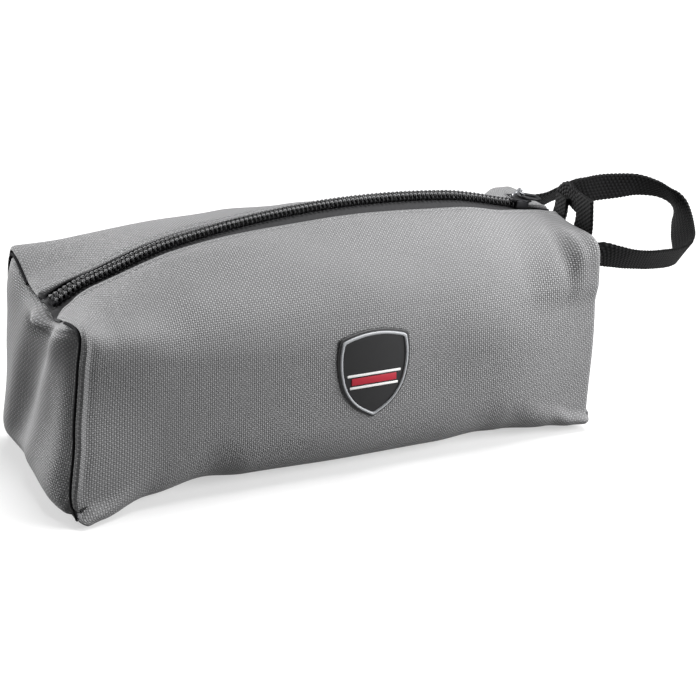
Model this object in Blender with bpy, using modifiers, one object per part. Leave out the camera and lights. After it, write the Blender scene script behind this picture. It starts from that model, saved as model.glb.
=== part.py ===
"""Box-shaped zippered pouch of coated woven fabric, with a webbing handle and a shield badge.

Lengths are in metres and +Z is up. +X points to the end where the slider parks when the pouch
is shut, and the front panel faces -Y. The origin is the centre of the flat bottom.
"""
import math

import bmesh
import bpy
from mathutils import Matrix, Vector

MM = 0.001

# Bag
BAG_LENGTH = 240 * MM
BAG_WIDTH = 96 * MM
SHOULDER_HEIGHT = 86 * MM
FOLD_DROP = 14 * MM
FABRIC = 1.4 * MM
END_CORNER_RADIUS = 5 * MM
MIDDLE_CORNER_RADIUS = 20 * MM
END_ROOF_SHARE = 0.36
MIDDLE_ROOF_SHARE = 0.86
END_SHAPE_POWER = 4

# Mouth and its lips
END_TAB_LENGTH = 24.1 * MM
MOUTH_WIDTH = 17 * MM

# Inside seam bindings
BINDING_WIDTH = 8 * MM
BINDING_THICKNESS = 1 * MM

# Zipper
CHAIN_RADIUS = 404 * MM
CHAIN_PEAK_X = 14 * MM
CHAIN_RISE = 18.5 * MM
TAPE_THICKNESS = 0.8 * MM
TAPE_GAP = 3.2 * MM
TAPE_SEWN_WIDTH = 5 * MM
TAPE_CLEARANCE = 0.4 * MM
COIL_WIDTH = 6.6 * MM
COIL_HEIGHT = 2.2 * MM
TOOTH_PITCH = 2 * MM
TOOTH_THICKNESS = 0.7 * MM
TOOTH_LENGTH = 2.7 * MM
COIL_SEAT = 0.3 * MM
STOP_LENGTH = 2.4 * MM

# Slider and pull
SLIDER_LENGTH = 10 * MM
SLIDER_PARK_GAP = 18.5 * MM
SLIDER_PLATE = 1.1 * MM
SLIDER_FLANGE = 0.7 * MM
SLIDER_CLEARANCE = 0.4 * MM
POST_LENGTH = 1.8 * MM
POST_INSET = 0.6 * MM
CROWN_LENGTH = 6.4 * MM
CROWN_HEIGHT = 3.4 * MM
CROWN_THICKNESS = 1.8 * MM
CROWN_WALL = 1 * MM
PULL_LENGTH = 9 * MM
PULL_WIDTH = 6 * MM
PULL_WIRE_RADIUS = 0.7 * MM
PULL_CORNER_RADIUS = 1.6 * MM
PULL_PLAY = 0.3 * MM

# Badge
BADGE_X = 9.6 * MM
BADGE_DROP = 25.5 * MM
BADGE_WIDTH = 34 * MM
BADGE_HEIGHT = 41 * MM
BADGE_PLATE = 1.4 * MM
BADGE_BORDER = 1.1 * MM
RIM_WIDTH = 1.2 * MM
RIM_HEIGHT = 0.8 * MM
TRIM_HEIGHT = 0.5 * MM
STRIPE_WIDTH = 1.1 * MM
UPPER_STRIPE_LENGTH = 25 * MM
LOWER_STRIPE_LENGTH = 22.6 * MM
BAND_LENGTH = 21 * MM
BAND_WIDTH = 3.2 * MM
STRIPE_SPACING = 5.6 * MM

# Webbing handle and hang loop
WEBBING_WIDTH = 13 * MM
WEBBING_THICKNESS = 1.4 * MM
HANDLE_REACH = 71 * MM
HANDLE_SPAN = 84 * MM
HANDLE_BEND = 44 * MM
HANDLE_DROP = 6 * MM
HANDLE_DROOP = 9 * MM
HANG_LOOP_HEIGHT = 19 * MM
HANG_LOOP_FOOT = 12 * MM
HANG_LOOP_GAP = 18 * MM
HANG_LOOP_TOP = 10 * MM
HANG_LOOP_WINDOW = 11 * MM
HANG_LOOP_Y = -15 * MM

# Counts and clearances
SEAM_GAP = 0.3 * MM
ROOF_STEPS = 9
SIDE_STEPS = 2
CORNER_STEPS = 5
BOTTOM_STEPS = 2
TAPE_STEPS = 5
MOUTH_STEPS = 24
END_STEPS = 4
HANDLE_STRAIGHT_STEPS = 4
HANDLE_BEND_STEPS = 20
ARC_STEPS = 5
BADGE_CURVE_STEPS = 5

# Sizes that follow from the ones above
HALF_LENGTH = BAG_LENGTH / 2
HALF_WIDTH = BAG_WIDTH / 2
HALF_MOUTH = HALF_LENGTH - END_TAB_LENGTH
ROOF_EDGE = MOUTH_WIDTH / 2
FOLD_HEIGHT = SHOULDER_HEIGHT - FOLD_DROP
CHAIN_PEAK_HEIGHT = SHOULDER_HEIGHT + CHAIN_RISE
BADGE_Z = FOLD_HEIGHT - BADGE_DROP
HANDLE_HEIGHT = SHOULDER_HEIGHT - HANDLE_DROP
CHAIN_CENTRE_HEIGHT = CHAIN_PEAK_HEIGHT - CHAIN_RADIUS
TAPE_TOP = -FABRIC - TAPE_CLEARANCE
TAPE_BOTTOM = TAPE_TOP - TAPE_THICKNESS
COIL_BASE = TAPE_TOP + COIL_SEAT
COIL_TOP = COIL_BASE + COIL_HEIGHT
TAPE_OUTER_EDGE = ROOF_EDGE + TAPE_SEWN_WIDTH
ROOF_FLAT_EDGE = TAPE_OUTER_EDGE + SEAM_GAP
END_PLATE_X = HALF_LENGTH - FABRIC - SEAM_GAP
BINDING_OUTER_X = END_PLATE_X - SEAM_GAP
CHAIN_END_X = BINDING_OUTER_X
SLIDER_REST_X = HALF_LENGTH - SLIDER_PARK_GAP

# Share of a handle foot's first step at which its round end starts
FOOT_START_SHARE = 0.25

# Shield outline as shares of the badge's half width and height, from the bottom point to the top corner
SHIELD_SIDE_SHARES = ((0, -0.5), (0.5, -0.365), (0.84, -0.17), (0.985, 0.06), (1, 0.26), (0.94, 0.425))
SHIELD_TOP_SHARE = 0.5
BAND_HEIGHT_SHARE = 0.44

FABRIC_GREY = ("woven_fabric", (0.27, 0.27, 0.28), 0.85, 0)
LINING_BLACK = ("binding_tape", (0.03, 0.03, 0.03), 0.9, 0)
ZIP_BLACK = ("zipper_tape", (0.02, 0.02, 0.022), 0.8, 0)
TOOTH_GREY = ("coil", (0.09, 0.09, 0.1), 0.35, 0)
SLIDER_METAL = ("slider_metal", (0.1, 0.1, 0.11), 0.3, 0.9)
WEBBING_GREY = ("webbing", (0.12, 0.12, 0.13), 0.8, 0)
BADGE_BLACK = ("badge_plate", (0.03, 0.03, 0.03), 0.4, 0)
BADGE_SILVER = ("badge_rim", (0.6, 0.6, 0.62), 0.35, 0)
BADGE_WHITE = ("badge_stripe", (0.85, 0.85, 0.85), 0.5, 0)
BADGE_RED = ("badge_band", (0.5, 0.02, 0.04), 0.5, 0)


def clear_scene():
    """Remove every object of the open file."""
    for item in list(bpy.data.objects):
        bpy.data.objects.remove(item)


def new_collection(name):
    """Return a collection linked to the scene."""
    collection = bpy.data.collections.new(name)
    bpy.context.scene.collection.children.link(collection)
    return collection


def material(finish):
    """Return the Principled material of a finish, made once."""
    name, colour, roughness, metallic = finish
    found = bpy.data.materials.get(name)
    if found:
        return found
    made = bpy.data.materials.new(name)
    made.use_nodes = True
    shader = made.node_tree.nodes["Principled BSDF"]
    shader.inputs["Base Color"].default_value = (*colour, 1)
    shader.inputs["Roughness"].default_value = roughness
    shader.inputs["Metallic"].default_value = metallic
    made.diffuse_color = (*colour, 1)
    return made


def chain_height(x):
    """Height of the fabric edge beside the zipper, which follows one arc along the bag."""
    return CHAIN_CENTRE_HEIGHT + math.sqrt(CHAIN_RADIUS ** 2 - (x - CHAIN_PEAK_X) ** 2)


def end_share(x):
    """Share of the end shape at x: 0 at mid-length, 1 at the end seams."""
    return abs(x / HALF_LENGTH) ** END_SHAPE_POWER


def roof_power(x):
    """Exponent of the roof's rounding at x."""
    return MIDDLE_ROOF_SHARE + (END_ROOF_SHARE - MIDDLE_ROOF_SHARE) * end_share(x)


def corner_radius(x):
    """Radius of the two bottom folds at x."""
    return MIDDLE_CORNER_RADIUS + (END_CORNER_RADIUS - MIDDLE_CORNER_RADIUS) * end_share(x)


def smooth_step(share):
    """Ease a share from 0 to 1 with flat ends."""
    return share * share * (3 - 2 * share)


def roof_height(x, y):
    """Height of the bag's upper surface at x and y: flat over the sewn tape, then round to the fold."""
    inward_share = (HALF_WIDTH - max(abs(y), ROOF_FLAT_EDGE)) / (HALF_WIDTH - ROOF_FLAT_EDGE)
    power = roof_power(x)
    angle = math.acos(min(1, (1 - inward_share) ** (1 / power)))
    rise = (SHOULDER_HEIGHT - FOLD_HEIGHT) * math.sin(angle) ** power
    dome = (chain_height(x) - SHOULDER_HEIGHT) * smooth_step(inward_share)
    return FOLD_HEIGHT + rise + dome


def roof_points(x):
    """Points of the back half of the roof, from the mouth's edge out to the fold."""
    power = roof_power(x)
    points = [(ROOF_EDGE, roof_height(x, ROOF_EDGE))]
    for step in range(ROOF_STEPS - 1):
        angle = math.pi / 2 * (1 - step / (ROOF_STEPS - 1))
        y = ROOF_FLAT_EDGE + (HALF_WIDTH - ROOF_FLAT_EDGE) * math.cos(angle) ** power
        points.append((y, roof_height(x, y)))
    points.append((HALF_WIDTH, FOLD_HEIGHT))
    return points


def half_section(x):
    """Points of the back half of the bag's section, from the mouth's edge to the bottom's middle."""
    radius = corner_radius(x)
    points = roof_points(x)
    for step in range(1, SIDE_STEPS + 1):
        points.append((HALF_WIDTH, FOLD_HEIGHT + (radius - FOLD_HEIGHT) * step / SIDE_STEPS))
    for step in range(1, CORNER_STEPS + 1):
        angle = math.pi / 2 * step / CORNER_STEPS
        points.append((HALF_WIDTH - radius + radius * math.cos(angle), radius - radius * math.sin(angle)))
    for step in range(1, BOTTOM_STEPS + 1):
        points.append(((HALF_WIDTH - radius) * (1 - step / BOTTOM_STEPS), 0))
    return points


def section(x, depth=0):
    """Points of the whole section from the back roof edge round to the front one, inset by depth."""
    half = half_section(x)
    points = [Vector(point) for point in half] + [Vector((-y, z)) for y, z in reversed(half[:-1])]
    if not depth:
        return points
    inset = []
    for index, point in enumerate(points):
        along = points[min(index + 1, len(points) - 1)] - points[max(index - 1, 0)]
        inward = Vector((along.y, -along.x)).normalized()
        inset.append(point + inward * depth)
    return inset


def stations(start, end, steps):
    """Evenly spaced places from start to end."""
    return [start + (end - start) * step / steps for step in range(steps + 1)]


def link_object(name, data, finish, collection, matrix=None):
    """Return a new object that carries data and the material of a finish."""
    item = bpy.data.objects.new(name, data)
    data.materials.append(material(finish))
    if matrix:
        item.matrix_world = matrix
    collection.objects.link(item)
    return item


def sheet(name, columns, rows, place, thickness, finish, collection, side=-1, keep=None):
    """Return a grid bent by place(column, row) and made solid on one side.

    keep(column, row) says which of the grid's cells stay.
    """
    bm = bmesh.new()
    bmesh.ops.create_grid(bm, x_segments=columns, y_segments=rows, size=1)
    cells = {}
    for face in bm.faces:
        centre = face.calc_center_median()
        cells[face] = (int((centre.x + 1) / 2 * columns), int((centre.y + 1) / 2 * rows))
    if keep:
        bmesh.ops.delete(bm, geom=[face for face, cell in cells.items() if not keep(*cell)], context="FACES")
    for vertex in bm.verts:
        column = round((vertex.co.x + 1) / 2 * columns)
        row = round((vertex.co.y + 1) / 2 * rows)
        vertex.co = place(column, row)
    mesh = bpy.data.meshes.new(name)
    bm.to_mesh(mesh)
    bm.free()
    item = link_object(name, mesh, finish, collection)
    solid = item.modifiers.new("Thickness", "SOLIDIFY")
    solid.thickness = thickness
    solid.offset = side
    solid.use_even_offset = True
    return item


def plate(name, outlines, thickness, matrix, finish, collection):
    """Return a flat plate whose outlines lie in matrix's XY plane, centred on it."""
    curve = bpy.data.curves.new(name, "CURVE")
    curve.dimensions = "2D"
    curve.fill_mode = "BOTH"
    curve.extrude = thickness / 2
    for outline in outlines:
        spline = curve.splines.new("POLY")
        spline.points.add(len(outline) - 1)
        for target, (x, y) in zip(spline.points, outline):
            target.co = (x, y, 0, 1)
        spline.use_cyclic_u = True
    return link_object(name, curve, finish, collection, matrix)


def box(name, low, high, finish, collection, matrix=None):
    """Return a box between two corners of matrix's own frame."""
    bm = bmesh.new()
    bmesh.ops.create_cube(bm, size=1)
    low, high = Vector(low), Vector(high)
    for vertex in bm.verts:
        vertex.co = (low + high) / 2 + Vector([a * b for a, b in zip(vertex.co, high - low)])
    mesh = bpy.data.meshes.new(name)
    bm.to_mesh(mesh)
    bm.free()
    return link_object(name, mesh, finish, collection, matrix)


def combine(target, tool, operation, cutters):
    """Join or cut target with tool by an exact Boolean and put the tool away."""
    modifier = target.modifiers.new(tool.name, "BOOLEAN")
    modifier.operation = operation
    modifier.object = tool
    modifier.solver = "EXACT"
    for collection in list(tool.users_collection):
        collection.objects.unlink(tool)
    cutters.objects.link(tool)
    tool.hide_render = True
    tool.display_type = "WIRE"


def pivot(name, position, collection):
    """Return an empty on a joint's axis."""
    empty = bpy.data.objects.new(name, None)
    empty.empty_display_size = WEBBING_WIDTH
    empty.location = position
    collection.objects.link(empty)
    return empty


def attach(items, empty):
    """Parent items to an empty and leave them where they are."""
    bpy.context.view_layer.update()
    for item in items:
        item.parent = empty
        item.matrix_parent_inverse = empty.matrix_world.inverted()


def mirrored(points):
    """Points mirrored about their first coordinate's zero, in the same order."""
    return [(-x, y) for x, y in points]


def make_body_panel(collection):
    """Wrap of front, bottom and back, with its roof complete only beyond the mouth's two ends."""
    places = (stations(-HALF_LENGTH, -HALF_MOUTH, END_STEPS)
              + stations(-HALF_MOUTH, HALF_MOUTH, MOUTH_STEPS)[1:-1]
              + stations(HALF_MOUTH, HALF_LENGTH, END_STEPS))
    sections = [section(x) for x in places]
    rows = len(sections[0]) - 1

    def keep(column, row):
        in_mouth = END_STEPS <= column < END_STEPS + MOUTH_STEPS
        in_roof = row < ROOF_STEPS or row >= rows - ROOF_STEPS
        return not (in_mouth and in_roof)

    def place(column, row):
        return (places[column], *sections[column][row])

    return sheet("body_panel", len(places) - 1, rows, place, FABRIC, FABRIC_GREY, collection, keep=keep)


def make_flap(name, side, collection):
    """Upper fabric of one mouth lip, from the fold up to the zipper."""
    places = stations(-HALF_MOUTH + SEAM_GAP, HALF_MOUTH - SEAM_GAP, MOUTH_STEPS)
    roofs = []
    for x in places:
        points = roof_points(x)
        points[-1] = (HALF_WIDTH, FOLD_HEIGHT + SEAM_GAP)
        roofs.append(points)

    def place(column, row):
        y, z = roofs[column][row if side > 0 else ROOF_STEPS - row]
        return (places[column], y * side, z)

    return sheet(name, MOUTH_STEPS, ROOF_STEPS, place, FABRIC, FABRIC_GREY, collection)


def make_tape(name, side, start, end, steps, collection):
    """One length of zipper tape, sewn under the roof's edge."""
    places = stations(start, end, steps)
    widths = stations(TAPE_GAP / 2, TAPE_OUTER_EDGE, TAPE_STEPS)

    def place(column, row):
        y = widths[row if side > 0 else TAPE_STEPS - row]
        return (places[column], y * side, roof_height(places[column], y) + TAPE_TOP)

    return sheet(name, steps, TAPE_STEPS, place, TAPE_THICKNESS, ZIP_BLACK, collection)


def tooth_starts(side, start, end):
    """Places of one coil's teeth between start and end, half a pitch off on the other coil."""
    phase = 0 if side < 0 else TOOTH_PITCH / 2
    first = math.ceil((start - phase) / TOOTH_PITCH)
    last = math.floor((end - TOOTH_THICKNESS - phase) / TOOTH_PITCH)
    return [phase + index * TOOTH_PITCH for index in range(first, last + 1)]


def make_coil(name, side, start, end, collection):
    """One length of coil: a spine on the tape, with teeth that reach between the other coil's."""
    places = [start]
    toothed = []
    for tooth in tooth_starts(side, start + SEAM_GAP, end - SEAM_GAP):
        places += [tooth, tooth + TOOTH_THICKNESS]
        toothed += [False, True]
    places.append(end)
    toothed.append(False)
    spine_inner = COIL_WIDTH / 2 - (COIL_WIDTH - TOOTH_LENGTH - SEAM_GAP) / 2
    widths = (spine_inner - TOOTH_LENGTH, spine_inner, COIL_WIDTH / 2)
    tooth_row = 0 if side > 0 else 1

    def keep(column, row):
        return row != tooth_row or toothed[column]

    def place(column, row):
        y = widths[row if side > 0 else len(widths) - 1 - row]
        return (places[column], y * side, chain_height(places[column]) + COIL_BASE)

    rows = len(widths) - 1
    return sheet(name, len(places) - 1, rows, place, COIL_HEIGHT, TOOTH_GREY, collection, side=1, keep=keep)


def make_end_panel(name, end, collection):
    """Flat panel sewn inside one end of the wrap."""
    rim = section(end * HALF_LENGTH, depth=FABRIC + SEAM_GAP)
    seat = section(end * END_PLATE_X, depth=FABRIC + SEAM_GAP)
    points = rim[:ROOF_STEPS] + seat[ROOF_STEPS:-ROOF_STEPS] + rim[-ROOF_STEPS:]
    outline = [tuple(point) for point in points]
    centre_x = end * (END_PLATE_X + FABRIC / 2)
    across = Matrix(((0, 0, 1, centre_x), (1, 0, 0, 0), (0, 1, 0, 0), (0, 0, 0, 1)))
    return plate(name, [outline], FABRIC, across, FABRIC_GREY, collection)


def make_binding(name, end, collection):
    """Tape sewn over the raw seam edges inside one end, open where the zipper passes."""
    start = end * (BINDING_OUTER_X - BINDING_WIDTH)
    places = sorted((start, end * BINDING_OUTER_X))
    sections = [section(x, depth=FABRIC + SEAM_GAP)[2:-2] for x in places]

    def place(column, row):
        return (places[column], *sections[column][row])

    rows = len(sections[0]) - 1
    return sheet(name, 1, rows, place, BINDING_THICKNESS, LINING_BLACK, collection)


def chain_angle(x):
    """Angle that the chain has turned at x, measured from its peak."""
    return math.asin((x - CHAIN_PEAK_X) / CHAIN_RADIUS)


def chain_frame(x):
    """Frame on the chain at x: X along it, Z square to it, on the fabric's height."""
    turn = Matrix.Rotation(chain_angle(x), 4, "Y")
    return Matrix.Translation((x, 0, chain_height(x))) @ turn


def make_stop(collection):
    """Clip that closes both coils at the left end of the zipper."""
    half = COIL_WIDTH / 2
    low, high = (0, -half, COIL_BASE), (STOP_LENGTH, half, COIL_TOP)
    return box("left_stop", low, high, SLIDER_METAL, collection, chain_frame(-CHAIN_END_X))


def crown_top():
    """Height of the crown's top in the slider's frame."""
    return COIL_TOP + SLIDER_CLEARANCE + SLIDER_PLATE + CROWN_HEIGHT


def pull_pin():
    """Place of the pull's pin in the slider's frame."""
    return Vector((
        CROWN_LENGTH / 2 - CROWN_WALL - PULL_WIRE_RADIUS - PULL_PLAY,
        0,
        crown_top() - CROWN_WALL - PULL_WIRE_RADIUS - PULL_PLAY,
    ))


def make_slider(collection, cutters):
    """Slider: two plates that ride above and below the chain, a nose post, flanges and a crown."""
    frame = chain_frame(SLIDER_REST_X)
    half = SLIDER_LENGTH / 2
    flange_inner = COIL_WIDTH / 2 + SLIDER_CLEARANCE
    wide = flange_inner + SLIDER_FLANGE
    top_low = COIL_TOP + SLIDER_CLEARANCE
    top_high = top_low + SLIDER_PLATE
    bottom_high = TAPE_BOTTOM - SLIDER_CLEARANCE
    bottom_low = bottom_high - SLIDER_PLATE
    body = box("slider", (-half, -wide, top_low), (half, wide, top_high), SLIDER_METAL, collection, frame)
    lower = box("slider_lower_plate", (-half, -wide, bottom_low), (half, wide, bottom_high),
                SLIDER_METAL, collection, frame)
    post_half = TAPE_GAP / 2 - SLIDER_CLEARANCE
    post = box("slider_post", (half - POST_INSET - POST_LENGTH, -post_half, bottom_low + SLIDER_PLATE / 2),
               (half - POST_INSET, post_half, top_high - SLIDER_PLATE / 2), SLIDER_METAL, collection, frame)
    parts = [post, lower]
    for side in (-1, 1):
        near, far = sorted((side * flange_inner, side * wide))
        flange_low = TAPE_TOP + SLIDER_CLEARANCE
        parts.append(box("slider_flange", (-half, near, flange_low), (half, far, top_low + SLIDER_PLATE / 2),
                         SLIDER_METAL, collection, frame))
    crown_half = CROWN_LENGTH / 2
    parts.append(box("slider_crown", (-crown_half, -CROWN_THICKNESS / 2, top_high - SLIDER_PLATE / 2),
                     (crown_half, CROWN_THICKNESS / 2, crown_top()), SLIDER_METAL, collection, frame))
    for part in parts:
        combine(body, part, "UNION", cutters)
    window = box("slider_crown_window", (-crown_half + CROWN_WALL, -CROWN_THICKNESS, top_high),
                 (crown_half - CROWN_WALL, CROWN_THICKNESS, crown_top() - CROWN_WALL),
                 SLIDER_METAL, collection, frame)
    combine(body, window, "DIFFERENCE", cutters)
    return body


def rounded_rectangle(length, width, radius, steps):
    """Outline that starts at x = 0, with its corners as arcs."""
    points = []
    corners = ((length - radius, width / 2 - radius, 0), (radius, width / 2 - radius, 1),
               (radius, radius - width / 2, 2), (length - radius, radius - width / 2, 3))
    for x, y, quarter in corners:
        for step in range(steps + 1):
            angle = math.pi / 2 * (quarter + step / steps)
            points.append((x + radius * math.cos(angle), y + radius * math.sin(angle)))
    return points


def make_pull(collection):
    """Wire ring that swings on the crown."""
    curve = bpy.data.curves.new("pull_ring", "CURVE")
    curve.dimensions = "3D"
    curve.bevel_depth = PULL_WIRE_RADIUS
    curve.bevel_resolution = 2
    outline = rounded_rectangle(PULL_LENGTH, PULL_WIDTH, PULL_CORNER_RADIUS, ARC_STEPS)
    spline = curve.splines.new("POLY")
    spline.points.add(len(outline) - 1)
    for target, (x, y) in zip(spline.points, outline):
        target.co = (x, y, 0, 1)
    spline.use_cyclic_u = True
    frame = chain_frame(SLIDER_REST_X) @ Matrix.Translation(pull_pin())
    return link_object("pull_ring", curve, SLIDER_METAL, collection, frame)


def shield(inset):
    """Outline of the badge, inset from its edge by a constant share of each half size."""
    half_width = BADGE_WIDTH / 2 - inset
    height = BADGE_HEIGHT - 2 * inset
    side = smooth_points([(x * half_width, y * height) for x, y in SHIELD_SIDE_SHARES])
    corner_x, corner_y = side[-1]
    crest = SHIELD_TOP_SHARE * height - corner_y
    top = []
    for step in range(1, BADGE_CURVE_STEPS):
        share = 1 - 2 * step / BADGE_CURVE_STEPS
        top.append((corner_x * share, corner_y + crest * (1 - share ** 2)))
    return side + top + mirrored(reversed(side[1:]))


def smooth_points(points):
    """Points of a smooth curve through points, with one more between each two."""
    result = [points[0]]
    for index in range(len(points) - 1):
        before = Vector(points[max(index - 1, 0)])
        first, second = Vector(points[index]), Vector(points[index + 1])
        after = Vector(points[min(index + 2, len(points) - 1)])
        middle = (first + second) / 2 + (first + second - before - after) / 16
        result += [tuple(middle), tuple(second)]
    return result


def make_badge(collection):
    """Shield plate on the front face, with a raised rim, two stripes and a plain band."""
    def facing(depth, x=0, z=0):
        return Matrix(((1, 0, 0, BADGE_X + x), (0, 0, -1, -HALF_WIDTH - SEAM_GAP - depth),
                       (0, 1, 0, BADGE_Z + z), (0, 0, 0, 1)))

    def bar(name, length, width, height_z, finish):
        outline = [(-length / 2, -width / 2), (length / 2, -width / 2),
                   (length / 2, width / 2), (-length / 2, width / 2)]
        depth = BADGE_PLATE + TRIM_HEIGHT / 2
        return plate(name, [outline], TRIM_HEIGHT, facing(depth, z=height_z), finish, collection)

    plate("badge_plate", [shield(0)], BADGE_PLATE, facing(BADGE_PLATE / 2), BADGE_BLACK, collection)
    plate("badge_rim", [shield(BADGE_BORDER), shield(BADGE_BORDER + RIM_WIDTH)], RIM_HEIGHT,
          facing(BADGE_PLATE + RIM_HEIGHT / 2), BADGE_SILVER, collection)
    band_z = -BADGE_HEIGHT / 2 + BAND_HEIGHT_SHARE * BADGE_HEIGHT
    bar("badge_stripe_upper", UPPER_STRIPE_LENGTH, STRIPE_WIDTH, band_z + STRIPE_SPACING / 2, BADGE_WHITE)
    bar("badge_stripe_lower", LOWER_STRIPE_LENGTH, STRIPE_WIDTH, band_z - STRIPE_SPACING / 2, BADGE_WHITE)
    bar("badge_band", BAND_LENGTH, BAND_WIDTH, band_z, BADGE_RED)


def handle_route():
    """Plan of the handle from its back foot to its front foot, with the distance along it."""
    half_span = HANDLE_SPAN / 2
    start = handle_axis_x() - WEBBING_WIDTH / 2
    straight_end = HALF_LENGTH + HANDLE_REACH - HANDLE_BEND
    foot = WEBBING_WIDTH / 2
    points = []
    for step in range(ARC_STEPS):
        share = (step + FOOT_START_SHARE) / ARC_STEPS
        points.append((start + foot * (1 - math.cos(math.pi / 2 * share)), half_span))
    points += [(x, half_span) for x in stations(start + foot, straight_end, HANDLE_STRAIGHT_STEPS)]
    for step in range(1, HANDLE_BEND_STEPS):
        angle = math.pi * step / HANDLE_BEND_STEPS
        points.append((straight_end + HANDLE_BEND * math.sin(angle), half_span * math.cos(angle)))
    back = points[:len(points) - HANDLE_BEND_STEPS + 1]
    return points + [(x, -y) for x, y in reversed(back)]


def handle_axis_x():
    """Place of the handle's hinge line, so that its round feet turn clear of the end panel."""
    return HALF_LENGTH + SEAM_GAP + WEBBING_WIDTH / 2


def make_handle(collection):
    """Webbing loop standing out of the right end, with its width upright."""
    route = handle_route()
    start = handle_axis_x() - WEBBING_WIDTH / 2
    foot = WEBBING_WIDTH / 2

    def place(column, row):
        x, y = route[column]
        depth = min(x - start, foot)
        half = math.sqrt(foot ** 2 - (foot - depth) ** 2)
        reach_share = max(0, x - handle_axis_x()) / (HALF_LENGTH + HANDLE_REACH - handle_axis_x())
        front_share = min(1, 1 - y / (HANDLE_SPAN / 2))
        droop = HANDLE_DROOP * smooth_step(reach_share) * smooth_step(front_share)
        return (x, y, HANDLE_HEIGHT - droop + half * (row - 1))

    return sheet("handle", len(route) - 1, 2, place, WEBBING_THICKNESS, WEBBING_GREY, collection, side=0)


def make_hang_loop(collection):
    """Folded webbing loop that stands on the right end's top seam."""
    base = HANG_LOOP_GAP / 2 + HANG_LOOP_FOOT
    outline = [(-base, 0), (-HANG_LOOP_GAP / 2, 0), (0, HANG_LOOP_WINDOW), (HANG_LOOP_GAP / 2, 0), (base, 0),
               (HANG_LOOP_TOP / 2, HANG_LOOP_HEIGHT), (-HANG_LOOP_TOP / 2, HANG_LOOP_HEIGHT)]
    centre_x = HALF_LENGTH + SEAM_GAP + WEBBING_THICKNESS / 2
    across = Matrix(((0, 0, 1, centre_x), (1, 0, 0, HANG_LOOP_Y), (0, 1, 0, SHOULDER_HEIGHT), (0, 0, 0, 1)))
    return plate("hang_loop", [outline], WEBBING_THICKNESS, across, WEBBING_GREY, collection)


def make_zipper(collection):
    """Tapes and coils in three lengths a side; returns the middle ones, which ride on the lips."""
    slider_post_x = SLIDER_REST_X + SLIDER_LENGTH / 2 - POST_INSET - POST_LENGTH
    stop_lean = COIL_BASE * math.sin(chain_angle(-CHAIN_END_X))
    coil_starts = {"left": -CHAIN_END_X + STOP_LENGTH + stop_lean + SEAM_GAP, "middle": -HALF_MOUTH + SEAM_GAP,
                   "right": HALF_MOUTH}
    coil_ends = {"left": -HALF_MOUTH, "middle": HALF_MOUTH - SEAM_GAP, "right": slider_post_x - 2 * SEAM_GAP}
    tape_starts = {"left": -CHAIN_END_X, "middle": -HALF_MOUTH + SEAM_GAP, "right": HALF_MOUTH}
    tape_ends = {"left": -HALF_MOUTH, "middle": HALF_MOUTH - SEAM_GAP, "right": CHAIN_END_X}
    moving = {-1: [], 1: []}
    for side, side_name in ((-1, "front"), (1, "back")):
        for zone in ("left", "middle", "right"):
            steps = MOUTH_STEPS if zone == "middle" else END_STEPS
            tape = make_tape(f"{side_name}_tape_{zone}", side, tape_starts[zone], tape_ends[zone], steps,
                             collection)
            coil = make_coil(f"{side_name}_coil_{zone}", side, coil_starts[zone], coil_ends[zone], collection)
            if zone == "middle":
                moving[side] = [tape, coil]
    return moving


def main():
    """Build the pouch."""
    clear_scene()
    collection = new_collection("zippered_pouch")
    cutters = new_collection("cutters")
    make_body_panel(collection)
    for name, end in (("left", -1), ("right", 1)):
        make_end_panel(f"{name}_end_panel", end, collection)
        make_binding(f"{name}_binding", end, collection)
    moving = make_zipper(collection)
    make_stop(collection)
    make_badge(collection)
    for name, side in (("front", -1), ("back", 1)):
        flap = make_flap(f"{name}_flap", side, collection)
        hinge = pivot(f"{name}_lip_hinge", (0, side * HALF_WIDTH, FOLD_HEIGHT), collection)
        attach([flap, *moving[side]], hinge)
    slider = make_slider(collection, cutters)
    pull = make_pull(collection)
    chain_centre = pivot("chain_centre", (CHAIN_PEAK_X, 0, CHAIN_CENTRE_HEIGHT), collection)
    pin = pivot("pull_pin", chain_frame(SLIDER_REST_X) @ pull_pin(), collection)
    attach([slider, pin], chain_centre)
    attach([pull], pin)
    handle_hinge = pivot("handle_hinge", (handle_axis_x(), 0, HANDLE_HEIGHT), collection)
    attach([make_handle(collection)], handle_hinge)
    loop_hinge = pivot("hang_loop_hinge", (HALF_LENGTH + SEAM_GAP, HANG_LOOP_Y, SHOULDER_HEIGHT), collection)
    attach([make_hang_loop(collection)], loop_hinge)


main()
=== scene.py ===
"""Zippered tool pouch of coarse woven fabric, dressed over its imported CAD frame.

The object's own sizes are written in millimetres in the classes and turned into metres where a mesh is
made. +X points to the end where the slider parks and the front panel faces -Y.
"""
from __future__ import annotations

import logging
import math
from collections.abc import Sequence
from dataclasses import dataclass
from enum import Enum

import bpy
import numpy as np
from mathutils import Matrix, Vector

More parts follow.
